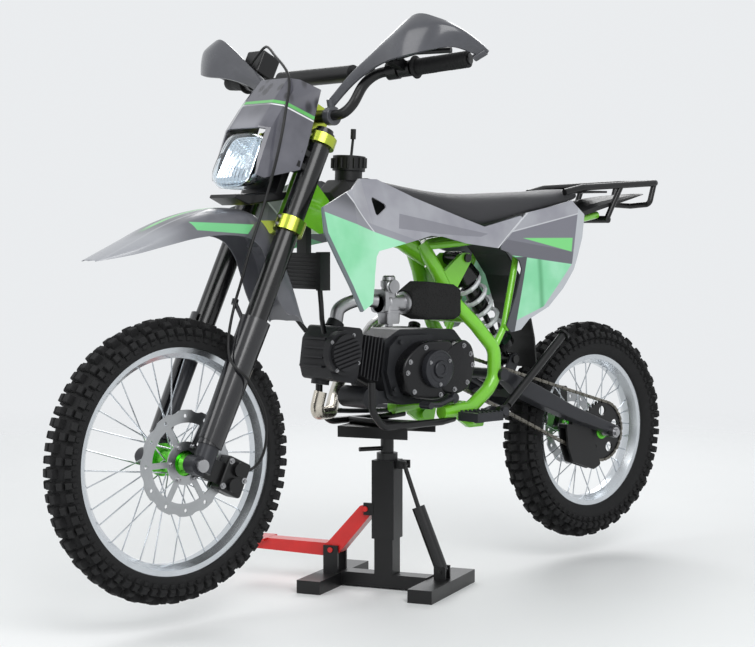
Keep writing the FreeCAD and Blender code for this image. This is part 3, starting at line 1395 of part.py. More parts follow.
def rear_brake():
    """Caliper over the right arm, on a bracket from the axle."""
    slot = (-49.5, -42.0)
    x, z = REAR_AXLE_X + 52, REAR_AXLE_Z + 74
    body = box((x - 28, x + 28), (-72, -31), (z - 22, z + 34))
    body = body.makeFillet(5.0, body.Edges).cut(box((x - 60, x + 60), slot, (z - 60, z + 22)))
    arm = side_plate([(REAR_AXLE_X - 14, REAR_AXLE_Z + 10), (REAR_AXLE_X + 14, REAR_AXLE_Z - 6),
                      (x + 16, z - 10), (x - 10, z + 8)], -65.7, -62.6, 5.0)
    return join([body, arm]).cut([across(REAR_AXLE_X, REAR_AXLE_Z, 12.0, -80, -40), swingarm()])


def front_sprocket():
    teeth = FRONT_TEETH
    x, z = SHAFT_X, SHAFT_Z
    hub_part = across(x, z, 12.0, 46, 64)
    return join([small_gear(x, z, teeth), hub_part])


def small_gear(x, z, teeth):
    root = pitch_radius(teeth) - 4.3
    return across(x, z, root, CHAIN_Y - SPROCKET_T / 2, CHAIN_Y + SPROCKET_T / 2)


def chassis():
    save("frame", frame())
    save("swingarm", swingarm())
    save("rear_axle", rear_axle())
    save("shock", shock())
    save("shock_spring", shock_spring())
    save("crankcase", join([crankcase(), front_sprocket()]))
    save("engine_covers", engine_covers())
    save("cylinder", cylinder())
    save("carburettor", carburettor())
    save("air_filter", air_filter())
    save("exhaust", exhaust())
    save("oil_cooler", oil_cooler())
    save("fuel_tank", fuel_tank())
    save("fuel_cap", fuel_cap())
    save("seat", seat())
    save("shrouds", shrouds())
    save("tail_panels", tail_panels())
    save("rear_fender", rear_fender())
    save("mudguard", mudguard())
    save("rack", rack())
    controls = Part.makeCompound([foot_pegs(), shift_lever(), brake_pedal(), kick_starter(),
                                  stand_pin()])
    save("foot_controls", controls.cut([engine_covers(), frame()]))
    save("engine_guard", engine_guard())
    save("side_stand", side_stand())
    save("chain_guide", chain_guide())
    save("rear_brake", rear_brake())


# Lift stand


def stand_turn(shape):
    """Turns a piece of the stand to its place under the bike."""
    shape = shape.copy()
    shape.rotate(V(STAND_X, 0, 0), V(0, 0, 1), STAND_TURN)
    shape.translate(V(0, STAND_Y, 0))
    return shape


def stand_base():
    """Two feet, their cross bar and the lower post, with eyes for pedal and damper."""
    length, width, height = STAND_FOOT
    x = STAND_X
    gap = STAND_GAP / 2.0
    feet = []
    for side in (1, -1):
        y = sorted((side * gap, side * (gap + width)))
        feet.append(box((x - length / 2, x + length / 2), y, (0, height)))
    bar = box((x - 22, x + 22), (-gap, gap), (4, height + 4))
    post = box((x - POST_W / 2, x + POST_W / 2), (-POST_W / 2, POST_W / 2), (height, 270))
    ears = []
    for side in (1, -1):
        ears.append(box((x + side * 24 - 3, x + side * 24 + 3), (-148, -112), (height, 92)))
        ears.append(box((x + side * 14 - 2.5, x + side * 14 + 2.5), (120, 148), (height, 60)))
    return stand_turn(join(feet + [bar, post] + ears))


def stand_head():
    """The raised sleeve on the lower post, its screw, lock pin and the plate on top."""
    x = STAND_X
    half = OUTER_POST_W / 2
    length, width, thick = STAND_PLATE
    low = STAND_TOP_Z - thick
    sleeve = box((x - half, x + half), (-half, half), (STAND_SLEEVE_Z, STAND_COLLAR_Z))
    bore = box((x - POST_W / 2, x + POST_W / 2), (-POST_W / 2, POST_W / 2),
               (STAND_SLEEVE_Z - 10, 270))
    screw = rod((x, 0, STAND_COLLAR_Z - 5), (x, 0, low), 15.0)
    collar = rod((x, 0, STAND_COLLAR_Z), (x, 0, STAND_COLLAR_Z + 16), 24.0)
    pin = rod((x + 4, -5, STAND_COLLAR_Z + 26), (x + 48, -48, STAND_COLLAR_Z + 26), 5.0)
    plate = box((x - length / 2, x + length / 2), (-width / 2, width / 2), (low, STAND_TOP_Z))
    lips = [box((x + s * (length / 2 - 2) - 2, x + s * (length / 2 - 2) + 2),
                (-width / 2, width / 2), (low - 20, STAND_TOP_Z)) for s in (1, -1)]
    eyes = []
    for side in (1, -1):
        eyes.append(box((x + side * 12 - 3, x + side * 12 + 3), (half - 2, half + 24),
                        (STAND_COLLAR_Z - 18, STAND_COLLAR_Z)))
        eyes.append(box((x + side * 25 - 3, x + side * 25 + 3), (-half - 20, -half + 4),
                        (168, 196)))
    return stand_turn(join([sleeve.cut(bore), screw, collar, pin, plate] + lips + eyes))


def stand_damper():
    """A gas damper from the left foot to the sleeve."""
    x = STAND_X
    foot, top = (x, 134, 48), (x, 42, STAND_COLLAR_Z - 9)
    mid = (x, 76, 190)
    low_eye = rod((x - 11, 134, 48), (x + 11, 134, 48), 10.0)
    top_eye = rod((x - 8.8, 42, top[2]), (x + 8.8, 42, top[2]), 8.0)
    pins = [rod((x - 19, 134, 48), (x + 19, 134, 48), 5.0),
            rod((x - 17, 42, top[2]), (x + 17, 42, top[2]), 4.0)]
    return stand_turn(join([rod(foot, mid, 15.0), rod(mid, top, 5.0), low_eye, top_eye] + pins))


def stand_pedal():
    """The red foot lever, bent over its fulcrum on the right foot and pinned to the sleeve."""
    x = STAND_X
    profile = [(-34, 190), (-58, 188), (-142, 96), (-330, 98), (-330, 72), (-132, 66),
               (-112, 74), (-34, 166)]
    wire = outline([V(x - 20, y, z) for y, z in profile], 10.0)
    arm = Part.Face(wire).extrude(V(40, 0, 0))
    tread = box((x - 36, x + 36), (-330, -296), (92, 98))
    pins = [rod((x - 30, -130, 82), (x + 30, -130, 82), 6.0),
            rod((x - 32, -42, 182), (x + 32, -42, 182), 6.0)]
    return stand_turn(join([arm, tread] + pins))


def stand():
    holes = [stand_pedal(), stand_damper()]
    save("stand_base", stand_base().cut(holes))
    save("stand_head", stand_head().cut(holes))
    save("stand_pedal", stand_pedal())
    save("stand_damper", stand_damper())


def main():
    os.makedirs("parts", exist_ok=True)
    front_wheel()
    rear_wheel()
    save("chain", chain())
    steering()
    chassis()
    stand()


main()
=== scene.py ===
import math

import bmesh
import bpy
import numpy as np
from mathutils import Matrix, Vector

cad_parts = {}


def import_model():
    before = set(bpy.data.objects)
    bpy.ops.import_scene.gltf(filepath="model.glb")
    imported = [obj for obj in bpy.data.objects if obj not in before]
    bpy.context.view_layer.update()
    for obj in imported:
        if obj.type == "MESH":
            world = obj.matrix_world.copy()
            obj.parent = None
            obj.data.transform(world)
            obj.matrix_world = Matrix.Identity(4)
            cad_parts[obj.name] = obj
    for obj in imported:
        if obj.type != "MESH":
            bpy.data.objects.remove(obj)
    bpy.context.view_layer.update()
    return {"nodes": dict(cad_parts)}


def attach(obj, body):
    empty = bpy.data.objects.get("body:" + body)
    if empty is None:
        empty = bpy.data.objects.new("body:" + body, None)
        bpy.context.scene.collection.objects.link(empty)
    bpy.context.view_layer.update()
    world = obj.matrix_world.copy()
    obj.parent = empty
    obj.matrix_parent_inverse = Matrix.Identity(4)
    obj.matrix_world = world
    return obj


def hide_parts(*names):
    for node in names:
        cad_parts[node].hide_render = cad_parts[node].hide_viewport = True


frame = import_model()

# Places repeated from the part's source, in metres
FRONT_AXLE = (0.620, 0.346)
REAR_AXLE = (-0.643, 0.317)
SHAFT = (-0.112, 0.507)
CRANK = (-0.042, 0.504)
CYLINDER_FOOT = (0.060, 0.522)
ENGINE_LEAN = math.radians(10.0)
CARB = (0.056, 0.040, 0.652)
RAKE = math.radians(25.5)
AXLE_LEAD = 0.016
LEG_Y = 0.084
CHAIN_Y = 0.057
PITCH = 0.0127
REAR_TEETH = 36
FRONT_TEETH = 16

# Points nearer than this are one point; TINY is a radius that closes a turned shape on its axis
DOUBLES = 1e-6
TINY = 0.0001
LEFT, RIGHT = (0.0, 1.0, 0.0), (0.0, -1.0, 0.0)


# Shapes


def from_fork(places):
    """Fork places (ahead, left, up the leg): turned back by the rake, then set on the axle."""
    places = np.asarray(places, float)
    ahead, left, up = places[..., 0] - AXLE_LEAD, places[..., 1], places[..., 2]
    x = FRONT_AXLE[0] + ahead * math.cos(RAKE) - up * math.sin(RAKE)
    z = FRONT_AXLE[1] + ahead * math.sin(RAKE) + up * math.cos(RAKE)
    return np.stack([x, left, z], axis=-1)


def turns(count):
    """Equal angles once round."""
    return np.linspace(0.0, 2.0 * math.pi, count, endpoint=False)


def circle(radius, count):
    """Cosine and sine of equal angles, times the radius."""
    angle = turns(count)
    return np.stack([radius * np.cos(angle), radius * np.sin(angle)], -1)


def unit(vectors):
    """Each vector divided by its length."""
    vectors = np.asarray(vectors, float)
    return vectors / np.linalg.norm(vectors, axis=-1, keepdims=True)


def curve_through(points, steps):
    """Catmull-Rom curve: each span blends its four nearest rows by cubics of the share."""
    p = np.asarray(points, float)
    p = np.vstack([2.0 * p[0] - p[1], p, 2.0 * p[-1] - p[-2]])
    share = np.linspace(0.0, 1.0, steps, endpoint=False)[None, :, None]
    a, b, c, d = (p[i:len(p) - 3 + i][:, None, :] for i in range(4))
    spans = 0.5 * (2.0 * b + (c - a) * share + (2.0 * a - 5.0 * b + 4.0 * c - d) * share ** 2
                   + (3.0 * b - a - 3.0 * c + d) * share ** 3)
    return np.vstack([spans.reshape(-1, p.shape[1]), p[-2]])


def rounded_profile(half_width, half_height, power, count):
    """Superellipse: cosine and sine of the angle, each raised to two over the power."""
    angle = turns(count)
    c, s = np.cos(angle), np.sin(angle)
    return np.stack([half_width * np.sign(c) * np.abs(c) ** (2.0 / power),
                     half_height * np.sign(s) * np.abs(s) ** (2.0 / power)], axis=-1)


def swept(path, profile, up=(0.0, 0.0, 1.0), sizes=None):
    """Profile carried along a path: point + across * width + over * height, ends drawn shut."""
    path, profile = np.asarray(path, float), np.asarray(profile, float)
    along = unit(np.gradient(path, axis=0))
    across = unit(np.cross(along, np.asarray(up, float)))
    over = np.cross(across, along)
    sizes = np.ones(len(path)) if sizes is None else np.asarray(sizes, float)
    flat = profile[None, :, :] * sizes[:, None, None]
    rings = (path[:, None, :] + across[:, None, :] * flat[..., :1]
             + over[:, None, :] * flat[..., 1:])
    ends = [np.repeat(path[i][None, None, :], len(profile), axis=1) for i in (0, -1)]
    return np.concatenate([ends[0], rings, ends[1]], axis=0)


def spun(a, b, profile, count=32):
    """Profile of (distance, radius) from a towards b, turned about that line."""
    a, b = np.asarray(a, float), np.asarray(b, float)
    along = unit(b - a)
    side = unit(np.cross(along, (0.31, 0.95, 0.05) if abs(along[1]) < 0.9 else (1.0, 0.0, 0.2)))
    over = np.cross(along, side)
    angle = turns(count)
    ring = side * np.cos(angle)[:, None] + over * np.sin(angle)[:, None]
    profile = np.asarray(profile, float)
    return a + along * profile[:, :1, None] + ring[None] * profile[:, 1:, None]


def about_axle(axle, profile, count=144):
    """Profile of (radius, y) turned about a wheel's axle."""
    profile = np.asarray(profile, float)
    angle = turns(count)
    x = axle[0] + profile[:, :1] * np.cos(angle)
    z = axle[1] + profile[:, :1] * np.sin(angle)
    return np.stack([x, np.broadcast_to(profile[:, 1:], x.shape), z], axis=-1)


def grid_faces(rows, columns, wrap_rows=False, wrap_columns=True):
    """Each cell of the grid as one face of four corners."""
    i = np.arange(rows if wrap_rows else rows - 1)[:, None]
    j = np.arange(columns if wrap_columns else columns - 1)[None, :]
    ahead, aside = (i + 1) % rows, (j + 1) % columns
    corners = [i * columns + j, i * columns + aside, ahead * columns + aside, ahead * columns + j]
    return np.stack([np.broadcast_to(c, (i.size, j.size)) for c in corners], -1).reshape(-1, 4)


def prism(flat, thick):
    """An outline (x, z) given a thickness across the bike, with a face at each end."""
    count = len(flat)
    points = np.vstack([np.column_stack([flat[:, 0], np.full(count, y), flat[:, 1]])
                        for y in (-thick / 2, thick / 2)])
    faces = grid_faces(2, count).tolist()
    return points, faces + [list(range(count - 1, -1, -1)), list(range(count, 2 * count))]


def in_scene(name, data):
    """A new object at the origin."""
    made = bpy.data.objects.new(name, data)
    bpy.context.scene.collection.objects.link(made)
    return made


def carried(piece, material, body, nodes):
    """A piece with its material, the body it rides on, and the nodes whose place it takes."""
    piece.data.materials.append(material)
    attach(piece, body)
    if nodes:
        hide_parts(*nodes)
    return piece


class Build:
    """Points and faces gathered into one mesh."""

    def __init__(self):
        self.points, self.faces, self.count = [], [], 0

    def add(self, points, faces):
        """More points, with faces counted from the first of them."""
        self.points.append(np.asarray(points, float).reshape(-1, 3))
        self.faces += [[self.count + i for i in face] for face in np.asarray(faces).tolist()]
        self.count += len(self.points[-1])
        return self

    def grid(self, points, wrap_rows=False, wrap_columns=True):
        """A surface of rows and columns of points."""
        rows, columns = points.shape[:2]
        return self.add(points, grid_faces(rows, columns, wrap_rows, wrap_columns))

    def copies(self, shape, origins, axes):
        """One small shape at many places: origin + its points turned by the axes there."""
        points, faces = shape
        placed = origins[:, None, :] + np.einsum("pk,nkj->npj", points, axes)
        shift = np.arange(len(origins))[:, None, None] * len(points)
        self.points.append(placed.reshape(-1, 3))
        if isinstance(faces, np.ndarray):
            faces = (faces[None] + shift + self.count).reshape(-1, faces.shape[1]).tolist()
        else:
            faces = [[self.count + n * len(points) + i for i in face]
                     for n in range(len(origins)) for face in faces]
        self.faces += faces
        self.count += len(origins) * len(points)
        return self

    def piece(self, name, material, body, *nodes, slot=None, sharp=40.0):
        """The finished piece: doubles merged, faces turned outwards, creases kept sharp."""
        mesh = bpy.data.meshes.new(name)
        mesh.from_pydata(np.vstack(self.points).tolist(), [], self.faces)
        work = bmesh.new()
        work.from_mesh(mesh)
        bmesh.ops.remove_doubles(work, verts=work.verts, dist=DOUBLES)
        bmesh.ops.dissolve_degenerate(work, edges=work.edges, dist=DOUBLES)
        bmesh.ops.recalc_face_normals(work, faces=work.faces)
        work.to_mesh(mesh)
        work.free()
        mesh.shade_smooth()
        mesh.set_sharp_from_angle(angle=math.radians(sharp))
        return carried(in_scene(name, mesh), material, body, nodes)


# Materials


def tone(red, green, blue):
    """A colour as the eye reads it, 0 to 255, made linear for the shader."""
    parts = [value / 255.0 for value in (red, green, blue)]
    return tuple(v / 12.92 if v <= 0.04045 else ((v + 0.055) / 1.055) ** 2.4
                 for v in parts) + (1.0,)


def tint(colour, times, more=0.0):
    """A linear colour made darker or lighter, its parts kept to 1."""
    return tuple(min(1.0, part * times + more) for part in colour[:3]) + (1.0,)


class Wire:
    """A socket of a material; arithmetic on it adds Math nodes."""

    def __init__(self, paint, socket):
        self.paint, self.socket = paint, socket

    def beside(self, output):
        """Another output of the same node."""
        return Wire(self.paint, self.socket.node.outputs[output])

    def maths(self, operation, *values):
        """A Math node of one operation."""
        return self.paint.node("ShaderNodeMath", {"operation": operation}, values)

    def __add__(self, other):
        return self.maths("ADD", self, other)

    def __sub__(self, other):
        return self.maths("SUBTRACT", self, other)

    def __rsub__(self, other):
        return self.maths("SUBTRACT", other, self)

    def __mul__(self, other):
        return self.maths("MULTIPLY", self, other)

    def __pow__(self, other):
        return self.maths("POWER", self, other)

    def __abs__(self):
        return self.maths("ABSOLUTE", self)

    __radd__ = __add__
    __rmul__ = __mul__

    def lesser(self, other):
        """The smaller of two values."""
        return self.maths("MINIMUM", self, other)

    def between(self, low, high):
        """0 below low, 1 above high, and a smooth rise from one to the other."""
        settings = {"interpolation_type": "SMOOTHSTEP"}
        return self.paint.node("ShaderNodeMapRange", settings,
                               {"Value": self, "From Min": low, "From Max": high})


class Paint:
    """A material being made; node() is the one way in which nodes are added."""

    def __init__(self, name):
        self.material = bpy.data.materials.new(name)
        self.material.use_nodes = True
        self.tree = self.material.node_tree
        self.tree.nodes.clear()
        self.place = self.node("ShaderNodeTexCoord", output="Object")
        self.x = self.node("ShaderNodeSeparateXYZ", {}, [self.place])
        self.y, self.z = self.x.beside("Y"), self.x.beside("Z")

    def node(self, kind, settings=None, values=(), output=0):
        """A node of one type, with its settings, then the values or links of its sockets."""
        made = self.tree.nodes.new(kind)
        for name, value in (settings or {}).items():
            setattr(made, name, value)
        pairs = values.items() if isinstance(values, dict) else enumerate(values)
        for key, value in pairs:
            if isinstance(value, Wire):
                self.tree.links.new(value.socket, made.inputs[key])
            else:
                made.inputs[key].default_value = value
        return Wire(self, made.outputs[output] if made.outputs else None)

    def noise(self, scale, detail=3.0, rough=0.55, place=None):
        """Cloudy noise, this many to the metre."""
        return self.node("ShaderNodeTexNoise", {}, {
            "Vector": place or self.place, "Scale": scale, "Detail": detail, "Roughness": rough})

    def cells(self, scale, feature="F1", place=None):
        """Cells, this many to the metre."""
        return self.node("ShaderNodeTexVoronoi", {"feature": feature}, {
            "Vector": place or self.place, "Scale": scale})

    def mix(self, share, a, b):
        """One colour turned into another by a share from 0 to 1."""
        return self.node("ShaderNodeMix", {"data_type": "RGBA"},
                         {0: share, 6: a, 7: b}, output=2)

    def vector(self, x, y, z):
        """Three values as one place."""
        return self.node("ShaderNodeCombineXYZ", {}, [x, y, z])

    def stretched(self, x, y, z):
        """The piece's own coordinates, scaled along each axis."""
        return self.node("ShaderNodeVectorMath", {"operation": "MULTIPLY"},
                         [self.place, (x, y, z)])

    def reach(self, centre):
        """Distance from a wheel's axle: the root of x squared plus z squared."""
        return ((self.x - centre[0]) ** 2.0 + (self.z - centre[1]) ** 2.0) ** 0.5

    def panel(self, hue, slow, rough, coat, haze):
        """Painted plastic: slow changes of gloss and a very fine grain under a thin coat."""
        return self.done(hue, slow * 0.08 + rough, self.noise(900.0), 0.00003,
                         {"Coat Weight": coat, "Coat Roughness": haze})

    def done(self, hue, rough, relief, depth, others=None):
        """The material's one shader: colour, roughness, relief and what else it needs."""
        normal = self.node("ShaderNodeBump", {}, {"Height": relief, "Distance": depth})
        sockets = {"Base Color": hue, "Roughness": rough, "Normal": normal}
        shader = self.node("ShaderNodeBsdfPrincipled", {}, {**sockets, **(others or {})})
        self.node("ShaderNodeOutputMaterial", {}, [shader])
        return self.material


def grained(name, colour, rough, metallic=0.0, coat=0.0, spread=0.12, grain=600.0,
            depth=0.00012, blotch=18.0, gloss_change=0.12):
    """A finish with a fine grain, slow blotches of tone and uneven gloss."""
    paint = Paint(name)
    fine = paint.noise(grain, 4.0, 0.6)
    slow = paint.noise(blotch, 3.0, 0.5)
    hue = paint.mix((slow * 0.7 + fine * 0.3).between(0.3, 0.7), tint(colour, 1.0 - spread),
                    tint(colour, 1.0 + spread))
    gloss = (slow - 0.5) * gloss_change + fine * 0.04 + (rough - 0.02)
    return paint.done(hue, gloss, fine, depth, {
        "Metallic": metallic, "Coat Weight": coat, "Coat Roughness": 0.12,
        "Specular IOR Level": 0.4})


def wheel_turned(name, colour, rough, axle, spread=0.18, streak=1400.0):
    """Metal turned on a lathe: streaks by the distance from the axle."""
    paint = Paint(name)
    around = paint.vector(paint.reach(axle), paint.y, 0.0)
    lines = paint.noise(streak, 2.0, 0.6, around)
    slow = paint.noise(14.0)
    hue = paint.mix((lines * 0.6 + slow * 0.4).between(0.35, 0.65), tint(colour, 1.0 - spread),
                    colour)
    return paint.done(hue, lines * 0.12 + slow * 0.1 + (rough - 0.1), lines, 0.00003,
                      {"Metallic": 1.0})


def rubber(name, colour, rough=0.78):
    """Moulded rubber: pores, and pale dust where the blotches are high."""
    paint = Paint(name)
    pores = paint.cells(900.0)
    dust = paint.noise(30.0, 5.0, 0.65)
    hue = paint.mix(dust.between(0.48, 0.78) * 0.7, colour, tint(colour, 1.9, 0.006))
    return paint.done(hue, dust * 0.18 + (rough - 0.09), pores + dust, 0.0002,
                      {"Specular IOR Level": 0.35})


def stitched_cover(name, colour):
    """Seat cover: leather-like cells with a softer top, made paler by painted light."""
    paint = Paint(name)
    cells = paint.cells(420.0, "DISTANCE_TO_EDGE")
    slow = paint.noise(22.0, 4.0)
    # painted light: the cover is paler towards the top, by height
    painted_top_light = paint.z.between(0.885, 0.912) * 0.35
    hue = paint.mix((slow * 0.4 + painted_top_light).between(0.1, 0.7), colour, tint(colour, 1.55, 0.01))
    return paint.done(hue, slow * 0.14 + 0.5, cells.between(0.0, 0.22), 0.00025)


def foam(name):
    """Open foam: round pores of two sizes, with painted shade inside them."""
    paint = Paint(name)
    large, small = paint.cells(260.0), paint.cells(620.0)
    pit_and_pore_shade = large * 0.6 + small * 0.4
    # painted shade: the pores are darker towards their middles; the same values make the relief
    hue = paint.mix(pit_and_pore_shade.between(0.1, 0.5), tone(9, 9, 9), tone(38, 38, 38))
    return paint.done(hue, 0.93, pit_and_pore_shade, 0.0015, {"Specular IOR Level": 0.2})


def clear_plastic(name):
    """A clear moulded lens."""
    paint = Paint(name)
    return paint.done(tone(240, 246, 250), 0.04, paint.noise(60.0, 1.0), 0.0002,
                      {"Transmission Weight": 1.0, "IOR": 1.3})


def heated_steel(name):
    """Bright pipe, straw-coloured near the head and silver towards its end."""
    paint = Paint(name)
    heat = paint.x.between(-0.05, 0.2)
    slow = paint.noise(24.0, 4.0)
    lines = paint.noise(500.0, 3.0, 0.6)
    hue = paint.mix((heat * 0.8 + slow * 0.3).between(0.25, 0.9), tone(200, 200, 198),
                    tone(206, 199, 186))
    return paint.done(hue, slow * 0.2 + lines * 0.08 + 0.12, lines, 0.00004, {"Metallic": 1.0})


def past(paint, a, b):
    """Distance from the line through two places (x, z), positive on the left of the way."""
    run, rise = b[0] - a[0], b[1] - a[1]
    length = math.hypot(run, rise)
    return (paint.z - a[1]) * (run / length) - (paint.x - a[0]) * (rise / length)


def within(paint, corners):
    """Least distance from the sides of a polygon whose corners run anticlockwise."""
    least = past(paint, corners[-1], corners[0])
    for a, b in zip(corners, corners[1:]):
        least = least.lesser(past(paint, a, b))
    return least


def step(wire):
    """0 below nought and 1 above it, with a thin soft edge."""
    return wire.between(-0.0004, 0.0004)


def stripe(wire, half, soft):
    """1 within a half width of nought, then a soft fall to 0."""
    return 1.0 - (abs(wire) - half).between(0.0, soft)


def side_graphic(name):
    """Shroud and tail colours, laid out by straight lines across the side of the bike."""
    paint = Paint(name)
    slow = paint.noise(9.0, 3.0)
    share = slow.between(0.3, 0.7)
    mint = paint.mix(share, tone(128, 212, 160), tone(160, 228, 188))
    grey = paint.mix(share, tone(142, 142, 151), tone(164, 165, 172))
    shroud = shroud_colours(paint, mint, grey)
    tail = tail_colours(paint, mint, grey)
    split = past(paint, (-0.331, 0.852), (-0.226, 0.773))
    hue = paint.mix(step(split * -1.0), shroud, tail)
    hue = paint.mix(step(0.0028 - abs(split)) * 0.8, hue, tone(216, 218, 222))
    return paint.panel(hue, slow, 0.26, 0.35, 0.1)


def shroud_colours(paint, mint, grey):
    """Mint below a rising edge; above it greys, a darker patch and a painted highlight on a
    crease.
    """
    edge = past(paint, (0.124, 0.793), (0.332, 0.848))
    crease = past(paint, (0.205, 0.825), (0.278, 0.902))
    patch = within(paint, [(0.112, 0.812), (0.095, 0.850), (-0.196, 0.806), (-0.150, 0.794),
                           (-0.020, 0.806)])
    hue = paint.mix(step(patch) * 0.75, grey, tone(118, 118, 127))
    ahead = paint.mix(edge.between(0.012, 0.05), tone(128, 129, 136), tone(78, 79, 85))
    hue = paint.mix(step(crease * -1.0), hue, ahead)
    strip = step(edge) * step(0.016 - edge)
    hue = paint.mix(strip * 0.6, hue, tone(128, 129, 138))
    # painted highlight: a thin pale line along the crease
    hue = paint.mix(step(0.0016 - abs(crease)) * 0.8, hue, tone(222, 224, 228))
    hue = paint.mix(step(edge * -1.0) * step(paint.x - 0.10), hue, mint)
    rim = past(paint, (0.245, 0.641), (0.360, 0.810)).lesser(0.357 - paint.x)
    return paint.mix(step(0.009 - rim) * step(paint.x - 0.16), hue, tone(98, 108, 112))


def tail_colours(paint, mint, grey):
    """A green wedge, a dark band, mint with painted shade along a fold, and pale and dark borders.
    """
    wedge = within(paint, [(-0.315, 0.796), (-0.494, 0.796), (-0.487, 0.763)])
    band_top = past(paint, (-0.487, 0.764), (-0.234, 0.796))
    band_low = past(paint, (-0.470, 0.735), (-0.285, 0.755))
    shade = past(paint, (-0.497, 0.850), (-0.252, 0.806))
    hue = paint.mix(step(shade), tone(116, 116, 126), grey)
    hue = paint.mix(step(0.0014 - abs(shade)) * 0.7, hue, tone(214, 216, 220))
    hue = paint.mix(step(band_top * -1.0), hue, tone(98, 98, 107))
    # painted shade: the mint is darker along a fold
    fold_shade = 1.0 - abs(paint.x + 0.372 - (paint.z - 0.70) * 0.05).between(0.0, 0.014)
    lower = paint.mix(fold_shade * 0.75, mint, tone(74, 158, 106))
    hue = paint.mix(step(band_low * -1.0), hue, lower)
    hue = paint.mix(step(wedge), hue, tone(122, 216, 128))
    pale = past(paint, (-0.487, 0.735), (-0.518, 0.855)) * -1.0
    for a, b in (((-0.487, 0.735), (-0.381, 0.635)), ((-0.381, 0.635), (-0.278, 0.603))):
        pale = pale.lesser(past(paint, a, b))
    hue = paint.mix(step(pale * -1.0), hue, tone(184, 188, 193))
    front = past(paint, (-0.268, 0.578), (-0.307, 0.724))
    dark = step(0.011 - front) * step(0.752 - paint.z)
    return paint.mix(dark, hue, tone(66, 68, 74))


def mask_graphic(name):
    """Mask colours by the height up the fork: dark top, a green line, grey with a pale middle."""
    paint = Paint(name)
    slow = paint.noise(11.0, 3.0)
    up = (paint.z - FRONT_AXLE[1]) * math.cos(RAKE) - (paint.x - FRONT_AXLE[0]) * math.sin(RAKE)
    patches = paint.cells(46.0, place=paint.stretched(1.0, 1.0, 0.5))
    dark = paint.mix(patches.between(0.2, 0.5), tone(44, 44, 50), tone(82, 82, 90))
    middle = 1.0 - abs(paint.y).between(0.030, 0.062)
    grey = paint.mix(slow.between(0.3, 0.7), tone(78, 78, 86), tone(98, 98, 106))
    grey = paint.mix(middle * (1.0 - up.between(0.70, 0.75)) * 0.6, grey, tone(150, 151, 158))
    hue = paint.mix((up - 0.766).between(0.0, 0.001), grey, dark)
    hue = paint.mix(stripe(up - 0.764, 0.0035, 0.0006), hue, tone(92, 176, 92))
    hue = paint.mix(stripe(up - 0.757, 0.0012, 0.0006) * (1.0 - middle * 0.8), hue,
                    tone(226, 228, 230))
    return paint.panel(hue, slow, 0.22, 0.5, 0.08)


def lamp_mirror(name):
    """Vacuum-plated reflector with a faint haze."""
    paint = Paint(name)
    haze = paint.noise(40.0, 2.0)
    hue = paint.mix(haze, tone(214, 220, 226), tone(244, 247, 250))
    return paint.done(hue, haze * 0.08 + 0.06, haze, 0.0002, {"Metallic": 1.0})


def fender_graphic(name):
    """Grey moulded panel, paler tip, painted highlights on two ridges, green crest, green patch
    each side.
    """
    paint = Paint(name)
    slow = paint.noise(9.0, 3.0)
    grey = paint.mix(slow.between(0.3, 0.7), tone(84, 85, 91), tone(106, 107, 113))
    tip = paint.x + abs(paint.y) * 0.8
    pale = paint.mix(tip.between(0.66, 0.74), grey, tone(150, 152, 157))
    # painted highlight: a faint pale line along each ridge beside the crest
    ridge = stripe(abs(paint.y) - 0.030, 0.0022, 0.001)
    pale = paint.mix(ridge * paint.x.between(0.47, 0.5) * 0.5, pale, tone(166, 168, 172))
    skirt = (paint.z - (paint.x * 0.06 + 0.778)).between(0.0, 0.0008)
    skirt = skirt * (1.0 - (paint.z - (paint.x * 0.03 + 0.812)).between(0.0, 0.0008))
    patch = skirt * (paint.x + (paint.z - 0.8) * 0.9 - 0.470).between(0.0, 0.001)
    patch = patch * (1.0 - (paint.x - (paint.z - 0.8) * 0.9 - 0.585).between(0.0, 0.001))
    hue = paint.mix(patch * abs(paint.y).between(0.040, 0.042), pale, tone(112, 196, 132))
    crest = stripe(paint.y, 0.007, 0.001)
    hue = paint.mix(crest * paint.x.between(0.45, 0.47) * (1.0 - paint.x.between(0.66, 0.7)),
                    hue, tone(112, 190, 116))
    return paint.panel(hue, slow, 0.3, 0.35, 0.1)


TYRE_RUBBER = rubber("tyre rubber", tone(17, 17, 18))
GRIP_RUBBER = rubber("grip rubber", tone(15, 15, 16), 0.7)
RIM_METAL = grained("polished rim", tone(206, 210, 214), 0.24, 1.0, grain=300.0,
                    depth=0.00002, spread=0.06)
HUB_GREEN = grained("green anodised", tone(96, 186, 62), 0.26, 1.0, grain=500.0, depth=0.00003)
CLAMP_GREEN = grained("yellow-green anodised", tone(176, 190, 74), 0.24, 1.0, grain=500.0,
                      depth=0.00003)
FRONT_DISC = wheel_turned("front disc steel", tone(176, 178, 180), 0.3, FRONT_AXLE)
REAR_DISC = wheel_turned("rear disc steel", tone(170, 172, 174), 0.32, REAR_AXLE)
BLACK_COAT = grained("black powder coat", tone(14, 14, 15), 0.34, grain=900.0, depth=0.00006)
BLACK_GLOSS = grained("black gloss", tone(9, 9, 10), 0.26, coat=0.2, grain=900.0,
                      depth=0.00002)
BLACK_MOULDED = grained("black moulded", tone(16, 16, 17), 0.46, grain=1200.0, depth=0.0001)
GREY_COAT = grained("dark grey satin", tone(44, 45, 49), 0.34, 0.25, grain=900.0, depth=0.00005)
CASE_CAST = grained("dark cast case", tone(38, 39, 42), 0.46, 0.3, grain=420.0, depth=0.0003)
COVER_COAT = grained("engine cover black", tone(19, 19, 21), 0.28, 0.2, grain=700.0,
                     depth=0.00008)
FIN_CAST = grained("fin casting", tone(28, 28, 31), 0.5, 0.2, grain=380.0, depth=0.0004)
